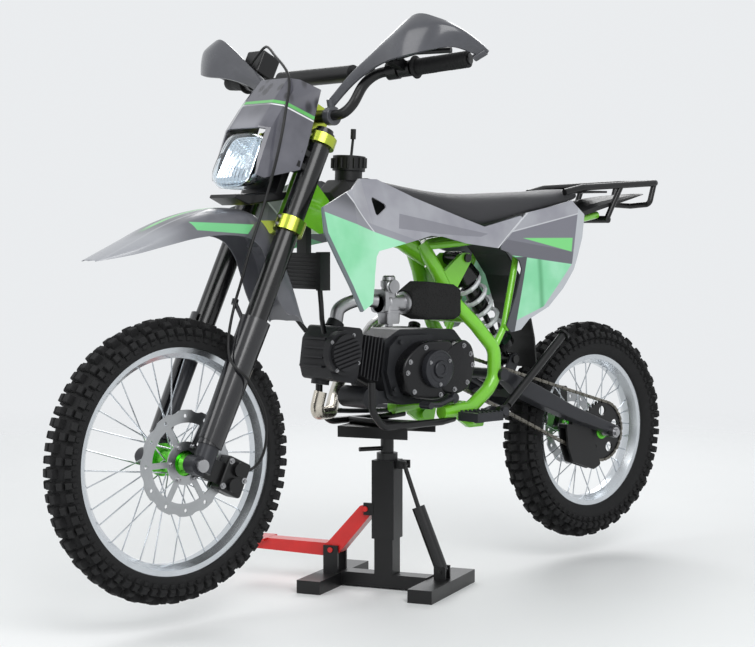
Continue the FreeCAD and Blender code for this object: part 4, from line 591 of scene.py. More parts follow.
ALLOY_CAST = grained("cast alloy", tone(164, 164, 166), 0.36, 1.0, grain=420.0, depth=0.0002)
STEEL = grained("plain steel", tone(168, 168, 170), 0.3, 1.0, grain=500.0, depth=0.00004)
CHAIN_STEEL = grained("oiled chain steel", tone(122, 119, 112), 0.34, 1.0, grain=700.0,
                      depth=0.00005, spread=0.25)
FRAME_GREEN = grained("lime frame paint", tone(120, 200, 46), 0.24, coat=0.7, grain=700.0,
                      depth=0.00002, spread=0.06)
SPRING_WHITE = grained("spring coat", tone(212, 214, 218), 0.3, 0.1, coat=0.4, grain=700.0,
                       depth=0.00003, spread=0.04)
RED_COAT = grained("red powder coat", tone(196, 32, 30), 0.32, coat=0.3, grain=800.0,
                   depth=0.00006)
SEAT_COVER = stitched_cover("seat cover", tone(44, 44, 47))
FILTER_FOAM = foam("filter foam")
LENS = clear_plastic("lamp lens")
PIPE = heated_steel("header steel")
SIDES = side_graphic("side panel colours")
FENDER = fender_graphic("fender colours")
MASK = mask_graphic("mask colours")
MIRROR = lamp_mirror("lamp reflector")
HOSE_RUBBER = grained("hose cover", tone(13, 13, 14), 0.5, grain=1500.0, depth=0.0001)
GUARD_GREY = grained("fork guard grey", tone(26, 26, 29), 0.2, grain=900.0, depth=0.00004,
                     coat=0.5)
GUARD_TOP = grained("hand guard grey", tone(72, 73, 78), 0.26, grain=1000.0, depth=0.00004,
                    coat=0.35)


def dress(material, *nodes):
    """A finish for CAD nodes whose shape stays."""
    for node in nodes:
        for holder in frame["nodes"][node].material_slots:
            holder.material = material


dress(RIM_METAL, "front_rim", "rear_rim")
dress(HUB_GREEN, "front_hub", "rear_hub")
dress(FRONT_DISC, "front_disc")
dress(REAR_DISC, "rear_disc")
dress(BLACK_COAT, "rear_sprocket", "handlebar", "lamp_bracket", "rack", "engine_guard",
      "stand_base", "stand_head", "oil_cooler", "bar_controls", "front_brake", "rear_brake",
      "side_stand")
dress(BLACK_GLOSS, "fork_tubes", "stand_damper", "shock")
dress(GUARD_GREY, "fork_guards")
dress(GREY_COAT, "fork_sliders", "swingarm", "foot_controls")
dress(CLAMP_GREEN, "triple_clamps")
dress(STEEL, "front_axle", "rear_axle")
dress(SPRING_WHITE, "shock_spring")
dress(CASE_CAST, "crankcase")
dress(FIN_CAST, "cylinder")
dress(FILTER_FOAM, "air_filter")
dress(PIPE, "exhaust")
dress(FRAME_GREEN, "frame")
dress(BLACK_MOULDED, "fuel_tank", "fuel_cap", "mudguard", "chain_guide", "bar_pad",
      "rear_fender")
dress(SIDES, "shrouds", "tail_panels")
dress(MASK, "headlight_mask")
dress(RED_COAT, "stand_pedal")


# Wheels


def block(length, width, height, taper=0.86, lip=0.0012):
    """A tread block: base, chamfer and top rings of four corners, its top and foot closed."""
    corners = np.array([[-1, -1], [1, -1], [1, 1], [-1, 1]], float) / 2.0
    foot = corners * (length, width)
    top = foot * taper
    face = top - np.sign(top) * lip
    rings = [(foot, 0.0), (top, height - lip), (face, height)]
    points = np.vstack([np.column_stack([ring, np.full(4, rise)]) for ring, rise in rings])
    faces = np.vstack([grid_faces(3, 4), [[3, 2, 1, 0]], [[8, 9, 10, 11]]])
    return points, faces


def tread_places(axle, ring_r, section_r, tilt, count, phase):
    """Places on the carcass: round the axle by equal steps, tilted about the section's middle.

    The axes are along the tread, across it, and out of it."""
    turn = (np.arange(count) + phase) * 2.0 * math.pi / count
    out = np.stack([np.cos(turn), np.zeros(count), np.sin(turn)], -1)
    side = np.tile([0.0, 1.0, 0.0], (count, 1))
    lift = out * math.cos(tilt) + side * math.sin(tilt)
    aside = side * math.cos(tilt) - out * math.sin(tilt)
    along = np.cross(aside, lift)
    middle = np.array([axle[0], 0.0, axle[1]]) + out * ring_r
    return middle + lift * section_r, np.stack([along, aside, lift], axis=1)


def carcass(ring_r, section_r, rim_r, bead):
    """A round section as (radius, y), open towards the axle, with a foot at each bead."""
    foot_angle = math.acos((rim_r - 0.002 - ring_r) / section_r)
    angle = np.linspace(-foot_angle, foot_angle, 41)
    round_part = np.stack([ring_r + section_r * np.cos(angle), section_r * np.sin(angle)], -1)
    foot = [[rim_r - 0.004, bead + 0.002], [rim_r - 0.009, bead - 0.003],
            [rim_r - 0.009, 0.003 - bead], [rim_r - 0.004, -bead - 0.002]]
    return np.vstack([round_part, foot])


# Ranks of blocks: tilt from the middle, height as a share of the lug, phase, length, width
RANKS = [(0.20, 1.12, 0.0, 0.019, 0.016), (0.62, 1.02, 0.5, 0.017, 0.014),
         (1.04, 0.82, 0.0, 0.019, 0.015), (1.04, 0.82, 0.5, 0.014, 0.015),
         (1.38, 0.0, 0.0, 0.012, 0.011), (1.38, 0.0, 0.5, 0.012, 0.011),
         (0.0, 1.0, 0.5, 0.015, 0.020)]
SIDE_KNOB = 0.004
LUG_ROOT = 0.002


def tyre(name, body, axle, radius, section_r, rim_r, bead, lug, rows):
    """A carcass turned about the axle, with ranks of blocks rooted in it."""
    ring_r = radius - lug - section_r
    section = carcass(ring_r, section_r, rim_r, bead)
    build = Build().grid(about_axle(axle, section, 180), wrap_rows=True)
    for tilt, share, phase, length, width in RANKS:
        height = (share * lug or SIDE_KNOB) + LUG_ROOT
        for side in (1.0, -1.0) if tilt else (1.0,):
            places, axes = tread_places(axle, ring_r, section_r - LUG_ROOT, side * tilt, rows,
                                        phase)
            build.copies(block(length, width, height), places, axes)
    return build.piece(name, TYRE_RUBBER, body, name)


tyre("front_tyre", "front_wheel", FRONT_AXLE, radius=0.291, section_r=0.033, rim_r=0.236,
     bead=0.021, lug=0.013, rows=36)
tyre("rear_tyre", "rear_wheel", REAR_AXLE, radius=0.268, section_r=0.040, rim_r=0.192,
     bead=0.025, lug=0.014, rows=34)


# Chain


def chain_pins():
    """The chain's pins as (x, z): half round each sprocket, and straight runs between."""
    lead = math.atan2(SHAFT[1] - REAR_AXLE[1], SHAFT[0] - REAR_AXLE[0])

    def arc(centre, teeth, start):
        step = np.arange(teeth // 2 + 1) * 2.0 * math.pi / teeth + lead + start
        radius = PITCH / (2.0 * math.sin(math.pi / teeth))
        return np.stack([centre[0] + radius * np.cos(step), centre[1] + radius * np.sin(step)], -1)

    def run(a, b):
        count = int(round(np.linalg.norm(b - a) / PITCH))
        return a + (b - a) * (np.arange(1, count) / count)[:, None]

    rear, front = arc(REAR_AXLE, REAR_TEETH, math.pi / 2), arc(SHAFT, FRONT_TEETH, -math.pi / 2)
    return np.vstack([rear, run(rear[-1], front[0]), front, run(front[-1], rear[0])])


def link_plate(thick):
    """Two round ends with a waist between: the ends' radius shrinks where the sides run level."""
    angle = turns(20)
    radius = 0.0042 - 0.0012 * np.exp(-(np.cos(angle) / 0.35) ** 2)
    end = np.sign(np.cos(angle)) * PITCH / 2 * (np.abs(np.cos(angle)) > 0.25)
    return prism(np.stack([end + radius * np.cos(angle), radius * np.sin(angle)], -1), thick)


def chain():
    """Plates in pairs, inner and outer in turn, with a roller and a pin at each joint."""
    pins = chain_pins()
    after = np.roll(pins, -1, axis=0)
    way = unit(after - pins)
    middle = (pins + after) / 2.0
    axes = np.stack([np.stack([way[:, 0], 0 * way[:, 0], way[:, 1]], -1),
                     np.tile([0.0, 1.0, 0.0], (len(pins), 1)),
                     np.stack([-way[:, 1], 0 * way[:, 0], way[:, 0]], -1)], axis=1)
    build = Build()
    for first, offset in ((0, 0.0052), (1, 0.0036)):
        for side in (1.0, -1.0):
            at = np.column_stack([middle[first::2, 0],
                                  np.full(len(middle[first::2]), CHAIN_Y + side * offset),
                                  middle[first::2, 1]])
            build.copies(link_plate(0.0012), at, axes[first::2])
    joints = np.column_stack([pins[:, 0], np.full(len(pins), CHAIN_Y), pins[:, 1]])
    for radius, length in ((0.0032, 0.0060), (0.0018, 0.0132)):
        build.copies(prism(circle(radius, 10), length), joints, axes)
    return build.piece("chain", CHAIN_STEEL, "chassis", "chain")


chain()


# Bolt heads


def bolt_head(radius):
    """A washer, a hexagon on it and a dimple in its top, as rings of twelve points."""
    angle = turns(12)
    hexagon = math.cos(math.pi / 6) / np.cos((angle + math.pi / 6) % (math.pi / 3) - math.pi / 6)
    rings = [(1.45, 0.0, 0), (1.45, 0.28, 0), (1.0, 0.3, 1), (1.0, 1.05, 1), (0.86, 1.25, 0),
             (0.5, 1.25, 0), (0.42, 0.95, 0), (0.001, 0.95, 0)]
    points = []
    for reach, rise, six in rings:
        ring = reach * radius * (hexagon if six else np.ones(12))
        points.append(np.column_stack([ring * np.cos(angle), ring * np.sin(angle),
                                       np.full(12, rise * radius)]))
    faces = grid_faces(len(rings), 12).tolist() + [list(range(11, -1, -1))]
    return np.vstack(points), faces


def bolts(name, body, slot, radius, places, out):
    """One head at each place, its axis along the outward direction."""
    places = np.asarray(places, float)
    out = unit(np.broadcast_to(np.asarray(out, float), places.shape))
    side = unit(np.cross(out, (0.13, 0.21, 0.97)))
    axes = np.stack([side, np.cross(out, side), out], axis=1)
    build = Build().copies(bolt_head(radius), places, axes)
    return build.piece(name, STEEL, body, slot=slot, sharp=30.0)


def ring_places(centre, radius, y, count, start=0.0):
    """Places round an axle at one distance from it."""
    turn = start + np.arange(count) * 2.0 * math.pi / count
    return np.stack([centre[0] + radius * np.cos(turn), np.full(count, y),
                     centre[1] + radius * np.sin(turn)], -1)


def on_engine(x, y, z):
    """A place drawn level, turned up about the cylinder's foot by the engine's lean."""
    ahead, up = x - CYLINDER_FOOT[0], z - CYLINDER_FOOT[1]
    c, s = math.cos(ENGINE_LEAN), math.sin(ENGINE_LEAN)
    return [CYLINDER_FOOT[0] + ahead * c - up * s, y, CYLINDER_FOOT[1] + ahead * s + up * c]


AHEAD = from_fork([1.0, 0.0, 0.0]) - from_fork([0.0, 0.0, 0.0])
DISC_BOLTS_R = 0.037
BOLT_SETS = [
    ("front_disc_bolts", "front_wheel", "front_disc", 0.0048,
     ring_places(FRONT_AXLE, DISC_BOLTS_R, 0.0514, 6), LEFT),
    ("rear_disc_bolts", "rear_wheel", "rear_disc", 0.0044,
     ring_places(REAR_AXLE, DISC_BOLTS_R, -0.0474, 6), RIGHT),
    ("clamp_bolts", "steering", "triple_clamps", 0.0034,
     from_fork([[0.0318, side * LEG_Y, up] for side in (1.0, -1.0)
                for up in (0.527, 0.543, 0.733)]), AHEAD),
    ("caliper_bolts", "steering", "front_brake", 0.0045,
     from_fork([[-0.070, 0.0798, 0.040], [-0.070, 0.0798, -0.014],
                [-0.117, 0.0798, 0.014]]), LEFT),
    ("case_bolts", "chassis", "engine_covers", 0.0040,
     [(-0.012, 0.0878, 0.553), (0.035, 0.0878, 0.523), (0.043, 0.0878, 0.499),
      (0.023, 0.0878, 0.456), (-0.058, 0.0878, 0.445), (-0.127, 0.0918, 0.553),
      (-0.149, 0.0918, 0.533), (-0.155, 0.0918, 0.508), (-0.138, 0.0918, 0.469),
      (-0.098, 0.0918, 0.455)], LEFT),
    ("cover_screws", "chassis", "engine_covers", 0.0030,
     ring_places(CRANK, 0.034, 0.1038, 3, 0.5), LEFT),
    ("head_bolts", "chassis", "cylinder", 0.0030,
     [on_engine(0.216 + 0.0442 * math.cos(turn), 0.0738, 0.524 + 0.0442 * math.sin(turn))
      for turn in (0.4, 1.97, 3.54, 5.11)], LEFT)]
for bolt_set in BOLT_SETS:
    bolts(*bolt_set)


# Engine covers


def closed_curve(outline, steps):
    """Catmull-Rom curve once round a closed outline in millimetres, anticlockwise."""
    p = np.asarray(outline, float) / 1000.0
    after = np.roll(p, -1, axis=0)
    if np.sum(p[:, 0] * after[:, 1] - after[:, 0] * p[:, 1]) < 0.0:
        p = p[::-1]
    whole = curve_through(np.vstack([p[-1:], p, p[:2]]), steps)
    return whole[steps:-steps - 1]


def lid(outline, low, high, rounding, crown=0.002):
    """Rings inside a smooth outline: up the wall, a quarter turn at the rim, then a low dome."""
    flat = closed_curve(outline, 7)
    along = unit(np.roll(flat, -1, axis=0) - np.roll(flat, 1, axis=0))
    inward = np.stack([-along[:, 1], along[:, 0]], -1)
    middle = flat.mean(axis=0)
    way = math.copysign(1.0, high - low)
    rings = [(middle + (flat - middle) * 0.001, low), (flat, low)]
    for turn in np.linspace(0.0, math.pi / 2, 7):
        rings.append((flat + inward * rounding * (1.0 - math.cos(turn)),
                      high - way * rounding * (1.0 - math.sin(turn))))
    face = rings[-1][0]
    for share in (0.92, 0.7, 0.4, 0.001):
        rings.append((middle + (face - middle) * share, high + way * crown * (1.0 - share ** 2)))
    return np.stack([np.column_stack([ring[:, 0], np.full(len(ring), y), ring[:, 1]])
                     for ring, y in rings])


# Outlines in millimetres as (x, z), with where each lid starts and ends and its rim's rounding
MAGNETO_LID = [(-96, 560), (-52, 566), (-10, 564), (28, 544), (48, 524), (54, 500), (44, 468),
               (28, 446), (-16, 437), (-60, 436), (-90, 450), (-100, 505)]
SHAFT_LID = [(-160, 540), (-148, 558), (-128, 565), (-92, 552), (-66, 526), (-60, 486),
             (-64, 454), (-96, 443), (-132, 450), (-150, 464), (-165, 506)]
CLUTCH_LID = [(-160, 530), (-144, 566), (-120, 587), (-70, 593), (-20, 590), (26, 574),
              (54, 552), (70, 520), (72, 488), (48, 444), (0, 432), (-60, 429), (-120, 432),
              (-156, 452), (-166, 490)]
LIDS = [(MAGNETO_LID, 0.056, 0.0878, 0.007), (SHAFT_LID, 0.060, 0.0918, 0.006),
        (CLUTCH_LID, -0.046, -0.086, 0.010)]
# Turned shapes as (radius, y), and the oil filler as (distance, radius)
CLUTCH_DRUM = [(TINY, -0.080), (0.058, -0.080), (0.058, -0.0935), (0.0565, -0.0965),
               (0.053, -0.098), (0.047, -0.098), (0.0455, -0.0965), (0.022, -0.0965),
               (0.0205, -0.098), (TINY, -0.0985)]
CLUTCH_DOME = [(TINY, -0.080), (0.034, -0.080), (0.034, -0.088), (0.031, -0.0915),
               (0.022, -0.0935), (TINY, -0.0945)]
OIL_FILLER = [(0.0, TINY), (0.0, 0.011), (0.020, 0.011), (0.0205, 0.0145), (0.029, 0.0145),
              (0.0305, 0.013), (0.0305, TINY)]
MAGNETO_DISC = [(TINY, 0.084), (0.043, 0.084), (0.043, 0.1005), (0.0422, 0.1028),
                (0.0398, 0.104), (0.0386, 0.104), (0.0378, 0.1030), (0.0290, 0.1030),
                (0.0282, 0.104), (0.0205, 0.104), (0.0196, 0.1030), (0.0188, 0.1030),
                (0.0185, 0.1078), (0.0172, 0.109), (0.0120, 0.109), (0.0112, 0.1070),
                (TINY, 0.1070)]


def engine_covers():
    """Lids on each side of the case, with a drum and a dome turned about their own middles."""
    build = Build()
    for row in LIDS:
        build.grid(lid(*row))
    build.grid(about_axle((-0.086, 0.516), CLUTCH_DRUM, 72))
    build.grid(about_axle((-0.008, 0.500), CLUTCH_DOME, 60))
    build.grid(spun((-0.120, -0.070, 0.570), (-0.134, -0.078, 0.596), OIL_FILLER, 32))
    return build.piece("engine_covers", COVER_COAT, "chassis", "engine_covers", sharp=35.0)


def magneto_disc():
    """The round plate on the left cover: a stepped rim, a shallow groove and a hollow cap."""
    build = Build().grid(about_axle(CRANK, MAGNETO_DISC, 96))
    return build.piece("magneto_disc", GREY_COAT, "chassis", slot="engine_covers", sharp=25.0)


# The manifold's line, and turned shapes as (distance, radius)
MANIFOLD = np.array([(177, 0, 614), (168, 4, 644), (130, 24, 662), (92, 40, 658)]) / 1000.0
CARB_BODY = [(0.0, TINY), (0.0, 0.023), (0.002, 0.025), (0.0085, 0.025), (0.010, 0.019),
             (0.034, 0.019), (0.036, 0.0208), (0.056, 0.0208), (0.058, 0.019), (0.080, 0.019),
             (0.080, TINY)]
CARB_SLIDE = [(0.0, TINY), (0.0, 0.0165), (0.038, 0.0165), (0.040, 0.0185), (0.052, 0.0185),
              (0.054, 0.0150), (0.061, 0.0140), (0.064, 0.0110), (0.064, TINY)]
CABLE_WHEEL = [(0.0, TINY), (0.0, 0.015), (0.003, 0.015), (0.005, 0.0125), (0.007, 0.0125),
               (0.009, 0.015), (0.012, 0.015), (0.012, 0.006), (0.0115, TINY)]
# The float bowl's sections as (height, size)
BOWL = [(0.600, 0.30), (0.601, 0.34), (0.606, 0.34), (0.607, 0.86), (0.612, 0.94),
        (0.632, 0.96), (0.6325, 1.08), (0.6365, 1.08), (0.637, 0.92), (0.648, 0.90)]
FLANGE = [(0.078, 0.96), (0.079, 1.0), (0.087, 1.0), (0.088, 0.96)]


def carburettor():
    """Manifold along a curve, a turned body and bell, and a squarer bowl below the slide."""
    x, y, z = CARB
    build = Build().grid(swept(curve_through(MANIFOLD, 10), circle(0.015, 32)))
    build.grid(swept([(ahead, y, 0.658) for ahead, _ in FLANGE],
                     rounded_profile(0.026, 0.026, 5.0, 48), sizes=[size for _, size in FLANGE]))
    build.grid(spun((0.008, y, z), (0.092, y, z), CARB_BODY, 40))
    build.grid(swept([(x, y, height) for height, _ in BOWL],
                     rounded_profile(0.0215, 0.0215, 4.0, 48), LEFT, [size for _, size in BOWL]))
    build.grid(spun((x, y, 0.650), (x, y, 0.714), CARB_SLIDE, 40))
    build.grid(spun((0.062, 0.054, 0.690), (0.062, 0.066, 0.690), CABLE_WHEEL, 36))
    return build.piece("carburettor", ALLOY_CAST, "chassis", "carburettor", sharp=35.0)


engine_covers()
magneto_disc()
carburettor()
bolts("bowl_screws", "chassis", "carburettor", 0.0024,
      [(CARB[0] + ahead, CARB[1] + left, 0.6325) for ahead in (-0.017, 0.017)
       for left in (-0.017, 0.017)], (0.0, 0.0, -1.0))


# Hand guards and fender


def leaf(outer, inner):
    """A thin leaf: each ring runs over the outer row and back under it; the ends are shut."""
    rings = np.concatenate([outer, inner[:, ::-1]], axis=1)
    ends = [np.concatenate([(outer[i] + inner[i]) / 2.0, (outer[i] + inner[i])[::-1] / 2.0])[None]
            for i in (0, -1)]
    return np.concatenate([ends[0], rings, ends[1]], axis=0)


# Ahead, left, turn in degrees, then the heights of the lower edge, ridge and upper edge
GUARD_ROWS = [(22, 95, 0, 14, 28, 42), (36, 150, 0, 54, 72, 88), (48, 201, 0, 76, 98, 118),
              (62, 262, 0, 88, 124, 156), (72, 326, 5, 92, 148, 187), (54, 385, 35, 110, 162, 182),
              (14, 418, 70, 134, 168, 178), (-39, 430, 86, 146, 164, 174),
              (-64, 431, 90, 150, 163, 170)]
BAR_MOUNT = np.array([0.004, 0.0, 0.790])
# Rods between fork places, in millimetres, with their radii
GUARD_RODS = [((4, 86, 790), (4, 104, 790), 0.020), ((4, 95, 794), (24, 95, 820), 0.008),
              ((-50.9, 405.6, 933.7), (-54, 429, 950), 0.008)]
GUARD_THICK = 4.0


def guard_shield():
    """Stations smoothed along the shield; across it the depth falls to a ridge and rises."""
    rows = curve_through(GUARD_ROWS, 7)
    ahead, left, turn, low, ridge, high = (column[:, None] for column in rows.T)
    turn = np.radians(turn)
    share = np.linspace(0.0, 1.0, 15)[None, :]
    up = np.where(share < 0.5, low + (ridge - low) * 2 * share,
                  ridge + (high - ridge) * (2 * share - 1))
    depth = np.where(share < 0.5, 13.0, 11.0) * np.abs(1 - 2 * share) ** 1.6
    faces = []
    for reach in (depth, depth + GUARD_THICK):
        places = [ahead - reach * np.cos(turn), left - reach * np.sin(turn), up]
        faces.append(np.stack(places, -1) / 1000.0 + BAR_MOUNT)
    return leaf(*faces)


def rod(a, b, radius, bevel=0.001):
    """A round bar between two places, its ends bevelled."""
    length = float(np.linalg.norm(b - a))
    return spun(a, b, [(0.0, TINY), (0.0, radius - bevel), (bevel, radius),
                       (length - bevel, radius), (length, radius - bevel), (length, TINY)], 32)


def hand_guards():
    """A shield on each side, with its clamp, arm and end rod."""
    shield = guard_shield()
    build = Build()
    for side in (1.0, -1.0):
        flip = np.array([1.0, side, 1.0])
        build.grid(from_fork(shield * flip))
        for a, b, radius in GUARD_RODS:
            build.grid(rod(*from_fork(np.array([a, b]) / 1000.0 * flip), radius))
    return build.piece("hand_guards", GUARD_TOP, "steering", "hand_guards", sharp=38.0)


# Forward of the front axle, height, half width and the drop of the sides
FENDER_ROWS = [(192, 757, 26, 4), (119, 789, 54, 22), (47, 822, 64, 38), (-27, 847, 66, 48),
               (-102, 860, 62, 56), (-168, 857, 58, 62), (-205, 838, 54, 80),
               (-235, 797, 53, 118), (-260, 752, 56, 112), (-284, 690, 60, 56),
               (-304, 624, 58, 8)]
# Across a half section: share of the half width, then what it falls of the drop and the crown
FENDER_FALL = [(1.0, 1.0, 0.0), (0.99, 0.62, 0.14), (0.97, 0.3, 0.3), (0.93, 0.11, 0.39),
               (0.87, 0.0, 0.38), (0.8, 0.0, 0.3), (0.68, 0.0, 0.2), (0.54, 0.0, 0.12),
               (0.4, 0.0, 0.06), (0.2, 0.0, 0.015), (0.0, 0.0, 0.0)]
FENDER_CROWN = 0.030
FENDER_THICK = 0.0032
# The post under the lower clamp: limits ahead, left and up the fork
FENDER_POST = [(-0.034, 0.008), (-0.024, 0.024), (0.484, 0.520)]


def front_fender():
    """Stations smoothed along the fender; each section is a crown with sides that drop."""
    x, z, half, drop = (column[:, None] for column in (curve_through(FENDER_ROWS, 7) / 1000.0).T)
    share, of_drop, of_crown = np.array(FENDER_FALL).T
    top = z - of_drop * drop - of_crown * np.minimum(drop, FENDER_CROWN)
    x = FRONT_AXLE[0] + x + 0.0 * share
    faces = []
    for thick in (0.0, FENDER_THICK):
        face = np.stack([x, share * (half - thick), top - thick * (1.0 - share)], -1)
        faces.append(np.concatenate([face, face[:, -2::-1] * (1.0, -1.0, 1.0)], axis=1))
    build = Build().grid(leaf(*faces))
    (back, front), (right, left), (foot, head) = FENDER_POST
    corners = [(u, y, w) for w in (foot, head) for u, y in
               ((back, right), (front, right), (front, left), (back, left))]
    build.add(from_fork(corners), [[0, 1, 2, 3], [4, 5, 6, 7], [0, 1, 5, 4], [1, 2, 6, 5],
                                   [2, 3, 7, 6], [3, 0, 4, 7]])
    return build.piece("front_fender", FENDER, "steering", "front_fender", sharp=38.0)


hand_guards()
front_fender()


# Seat


# Along the bike, bottom, top and half width, in millimetres
SEAT_ROWS = [(96, 900, 926, 34), (33, 872, 914, 60), (-73, 846, 900, 78), (-187, 818, 896, 84),
             (-333, 846, 901, 82), (-430, 864, 905, 72), (-500, 876, 910, 54),
             (-550, 886, 911, 44), (-571, 892, 908, 34)]
SEAT_CROWN = 0.0035


def seat():
    """Stations along the bike carried smoothly; each section is flat below and crowned above.

    Width and height go by powers of the angle's cosine and sine, and the crown by its square."""
    rows = curve_through(np.array(SEAT_ROWS) / 1000.0, 9)
    x, low, high, half = (column[:, None] for column in rows.T)
    c, s = np.cos(turns(56)), np.sin(turns(56))
    wide = np.sign(c) * np.abs(c) ** 0.55 * (1.0 - 0.10 * s.clip(0))
    tall = np.where(s > 0, np.abs(s) ** 0.62, -np.abs(s) ** 0.35)
    z = (low + high) / 2.0 + (high - low) / 2.0 * tall * 0.96 + SEAT_CROWN * s.clip(0) ** 2
    body = np.stack([x + 0.0 * s, half * wide, z], -1)
    ends = [np.broadcast_to(body[i].mean(0), body[i].shape)[None] for i in (0, -1)]
    build = Build().grid(np.concatenate([ends[0], body, ends[1]]))
    return build.piece("seat", SEAT_COVER, "chassis", "seat")


seat()


# Lamp


def lamp_section(u, half, low, high, power=4.0, count=72):
    """A superellipse across the fork, narrower towards its top, at one place ahead."""
    flat = rounded_profile(half, (high - low) / 2.0, power, count)
    height = flat[:, 1] + (low + high) / 2.0
    narrow = 1.0 - 0.12 * (height - low) / (high - low)
    return from_fork(np.stack([np.full(count, u), flat[:, 0] * narrow, height], -1))


def lamp_rows(rows):
    """One section for each row of (ahead, half width, low, high)."""
    return np.stack([lamp_section(*row) for row in rows])


LENS_SIDES = [(0.062, 0.054, 0.590, 0.688), (0.088, 0.062, 0.577, 0.692),
              (0.116, 0.061, 0.566, 0.692), (0.134, 0.0565, 0.570, 0.688)]
LENS_FACE = [(0.1405, 0.050, 0.577, 0.681), (0.1425, 0.034, 0.594, 0.664),
             (0.1432, 0.016, 0.613, 0.645)]
LENS_MIDDLE = (TINY, 0.6289, 0.6291)
LENS_WALL = 0.0025
LAMP_UP = 0.629
BULB = [(0.0, 0.0), (0.0, 0.011), (0.006, 0.011), (0.008, 0.0085), (0.026, 0.0085),
        (0.034, 0.0078), (0.040, 0.005), (0.0425, 0.0)]


def lamp_lens():
    """Sections forward and over the face to its middle, then back inside them by the wall."""
    outer = LENS_SIDES + LENS_FACE
    inner = [(u - LENS_WALL, half * 0.955, low + LENS_WALL, high - LENS_WALL)
             for u, half, low, high in reversed(outer)]
    middle = [(0.1434, *LENS_MIDDLE), (0.1408, *LENS_MIDDLE)]
    build = Build().grid(lamp_rows(outer + middle + inner), wrap_rows=True)
    return build.piece("lamp_lens", LENS, "steering", "headlight")


def lamp_bowl():
    """Reflector: the section shrinks backwards as the root of the share, with stepped facets."""
    front = []
    for count, share in enumerate(np.linspace(1.0, 0.0, 22)):
        grow = 0.14 + 0.86 * math.sqrt(share)
        step_in = 0.0009 * (count % 2)
        front.append((0.064 + 0.056 * share, 0.0555 * grow - step_in,
                      LAMP_UP - 0.0565 * grow + step_in, LAMP_UP + 0.0565 * grow - step_in,
                      2.4 + 2.6 * share))
    back = [(u - 0.0016, half + 0.0014, low - 0.0014, high + 0.0014, power)
            for u, half, low, high, power in reversed(front)]
    build = Build().grid(lamp_rows(front + back), wrap_rows=True)
    return build.piece("lamp_bowl", MIRROR, "steering", slot="headlight", sharp=18.0)


def lamp_bulb():
    """A capped glass bulb in its collar, turned about its axis."""
    foot, tip = from_fork([[0.058, 0.0, LAMP_UP], [0.120, 0.0, LAMP_UP]])
    build = Build().grid(spun(foot, tip, BULB, 28))
    return build.piece("lamp_bulb", SPRING_WHITE, "steering", slot="headlight")


lamp_lens()
lamp_bowl()
lamp_bulb()


# Grips and hose


def grips():
    """Ribs on a sleeve: the radius rises and falls with the distance along the grip."""
    build = Build()
    for side in (1.0, -1.0):
        a, b = from_fork([[-0.0184, side * 0.2756, 0.9052], [-0.049, side * 0.398, 0.932]])
        along = np.linspace(0.007, 0.1245, 120)
        ribs = 0.0166 + 0.0008 * np.abs(np.sin(along * math.pi / 0.0062)) ** 0.6
        ribs = np.where(np.abs(along - 0.066) < 0.016, 0.0170, ribs)
        sleeve = np.stack([along, ribs], -1)
        profile = np.vstack([[(0.0, 0.0112), (0.0, 0.0230), (0.0015, 0.0240), (0.0045, 0.0240),
                              (0.006, 0.0228)], sleeve, [(0.1250, 0.0160), (0.1250, 0.0112)]])
        build.grid(spun(a, b, profile, 40), wrap_rows=True)
    return build.piece("grips", GRIP_RUBBER, "steering", "grips", sharp=50.0)


# The hose's route, in fork places, as in the part's source
HOSE_ROUTE = np.array([
    (23, -248, 896), (34, -222, 916), (44, -188, 940), (63, -146, 945), (84, -98, 926),
    (98, -46, 894), (109, 4, 866), (115, 46, 838), (113, 68, 807), (119, 90, 756),
    (113, 100, 701), (97, 94, 640), (78, 77, 581), (68, 71, 524), (65, 70, 452), (52, 64, 386),
    (38, 48, 345), (46, 76, 272), (41, 94, 228), (32, 117, 206), (0, 127, 198), (-48, 116, 177),
    (-86, 108, 156), (-112, 100, 126), (-130, 91, 98), (-139, 82, 70), (-134, 73, 45),
    (-116, 67, 29)]) / 1000.0
HOSE_THICK = 0.006


def brake_hose():
    """A NURBS line through the route's corners, with a round section."""
    points = from_fork(HOSE_ROUTE)
    line = bpy.data.curves.new("brake_hose", "CURVE")
    line.dimensions, line.bevel_depth, line.bevel_resolution = "3D", HOSE_THICK / 2, 5
    line.resolution_u, line.use_fill_caps = 10, True
    spline = line.splines.new("NURBS")
    spline.points.add(len(points) - 1)
    spline.points.foreach_set("co", np.column_stack([points, np.ones(len(points))]).ravel())
    spline.order_u, spline.use_endpoint_u = 3, True
    piece = carried(in_scene("brake_hose", line), HOSE_RUBBER, "steering",
                    ["front_brake_hose"])
    return (piece, tuple(from_fork([0.0245, -0.2435, 0.8990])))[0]


grips()
brake_hose()


# Floor, light and camera


MIDDLE = (0.0, 0.0, 0.6)
# Place, size and power of each light
LIGHTS = {"key": ((1.6, 3.4, 3.2), 2.6, 110.0), "fill": ((3.6, -0.6, 2.4), 2.4, 55.0),
          "back": ((-2.6, -2.4, 3.0), 2.4, 70.0)}
# The floor is gone between these distances
FLOOR_FADE = (1.3, 4.6)
SURROUNDINGS = (0.96, 0.98, 1.0, 1.0)
STRENGTH_AS_LIGHT = 0.55
STRENGTH_SEEN = 0.86
# The photograph's viewpoint: place, tilt and heading in degrees, lens in millimetres
EYE = (2.721, 2.952, 0.8135)
EYE_TILT = -2.99
EYE_HEADING = -132.1
EYE_LENS = 84.88


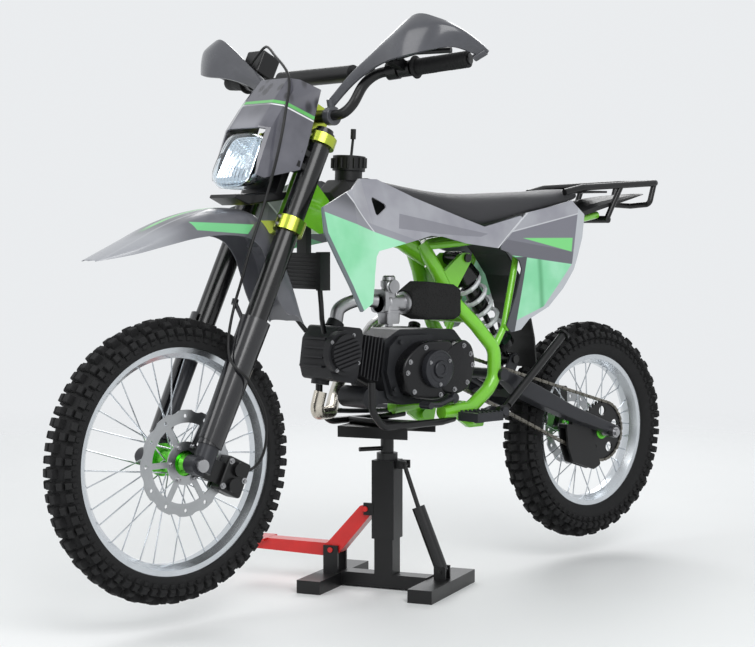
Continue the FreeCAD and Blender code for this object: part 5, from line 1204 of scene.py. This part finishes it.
def floor():
    """A round pale floor whose rim fades out, so that it runs into the pale surroundings."""
    mesh = bpy.data.meshes.new("floor")
    angle = turns(96)
    rings = np.array([TINY, 2.0, 4.0, 7.0])[:, None]
    points = np.stack([rings * np.cos(angle), rings * np.sin(angle), 0.0 * rings * angle], -1)
    mesh.from_pydata(points.reshape(-1, 3).tolist(), [],
                     grid_faces(len(rings), len(angle))[:, ::-1].tolist())
    paint = Paint("pale floor")
    far = (paint.x ** 2.0 + paint.y ** 2.0) ** 0.5
    slow = paint.noise(0.8)
    hue = paint.mix(slow, tone(226, 228, 228), tone(233, 234, 234))
    mesh.materials.append(paint.done(hue, 0.7, slow, 0.0,
                                     {"Alpha": 1.0 - far.between(*FLOOR_FADE)}))
    in_scene("floor", mesh)


def area_light(name, place, size, power):
    """A square soft light turned towards the middle of the bike."""
    lamp = bpy.data.lights.new(name, "AREA")
    lamp.shape, lamp.size, lamp.energy = "SQUARE", size, power
    holder = in_scene(name, lamp)
    holder.location = place
    way = Vector(MIDDLE) - Vector(place)
    holder.rotation_euler = way.to_track_quat("-Z", "Y").to_euler()


def world():
    """Plain pale surroundings: bright to the eye and in reflections, dimmer as light."""
    made = bpy.data.worlds.new("studio")
    made.use_nodes = True
    bpy.context.scene.world = made
    tree = made.node_tree
    tree.nodes.clear()
    path = tree.nodes.new("ShaderNodeLightPath")
    seen = path.outputs["Is Camera Ray"]
    for ray in ("Is Glossy Ray", "Is Transmission Ray"):
        either = tree.nodes.new("ShaderNodeMath")
        either.operation = "MAXIMUM"
        tree.links.new(seen, either.inputs[0])
        tree.links.new(path.outputs[ray], either.inputs[1])
        seen = either.outputs[0]
    strength = tree.nodes.new("ShaderNodeMapRange")
    tree.links.new(seen, strength.inputs["Value"])
    strength.inputs["To Min"].default_value = STRENGTH_AS_LIGHT
    strength.inputs["To Max"].default_value = STRENGTH_SEEN
    back = tree.nodes.new("ShaderNodeBackground")
    back.inputs["Color"].default_value = SURROUNDINGS
    tree.links.new(strength.outputs[0], back.inputs["Strength"])
    out = tree.nodes.new("ShaderNodeOutputWorld")
    tree.links.new(back.outputs[0], out.inputs["Surface"])


def camera():
    """A camera at the photograph's viewpoint."""
    lens = bpy.data.cameras.new("camera")
    lens.sensor_fit, lens.sensor_width, lens.lens = "HORIZONTAL", 36.0, EYE_LENS
    eye = in_scene("camera", lens)
    eye.location = EYE
    eye.rotation_euler = (math.radians(90.0 + EYE_TILT), 0.0, math.radians(EYE_HEADING - 90.0))
    bpy.context.scene.camera = eye


floor()
world()
for light, settings in LIGHTS.items():
    area_light(light, *settings)
camera()
bpy.context.scene.view_settings.view_transform = "Standard"
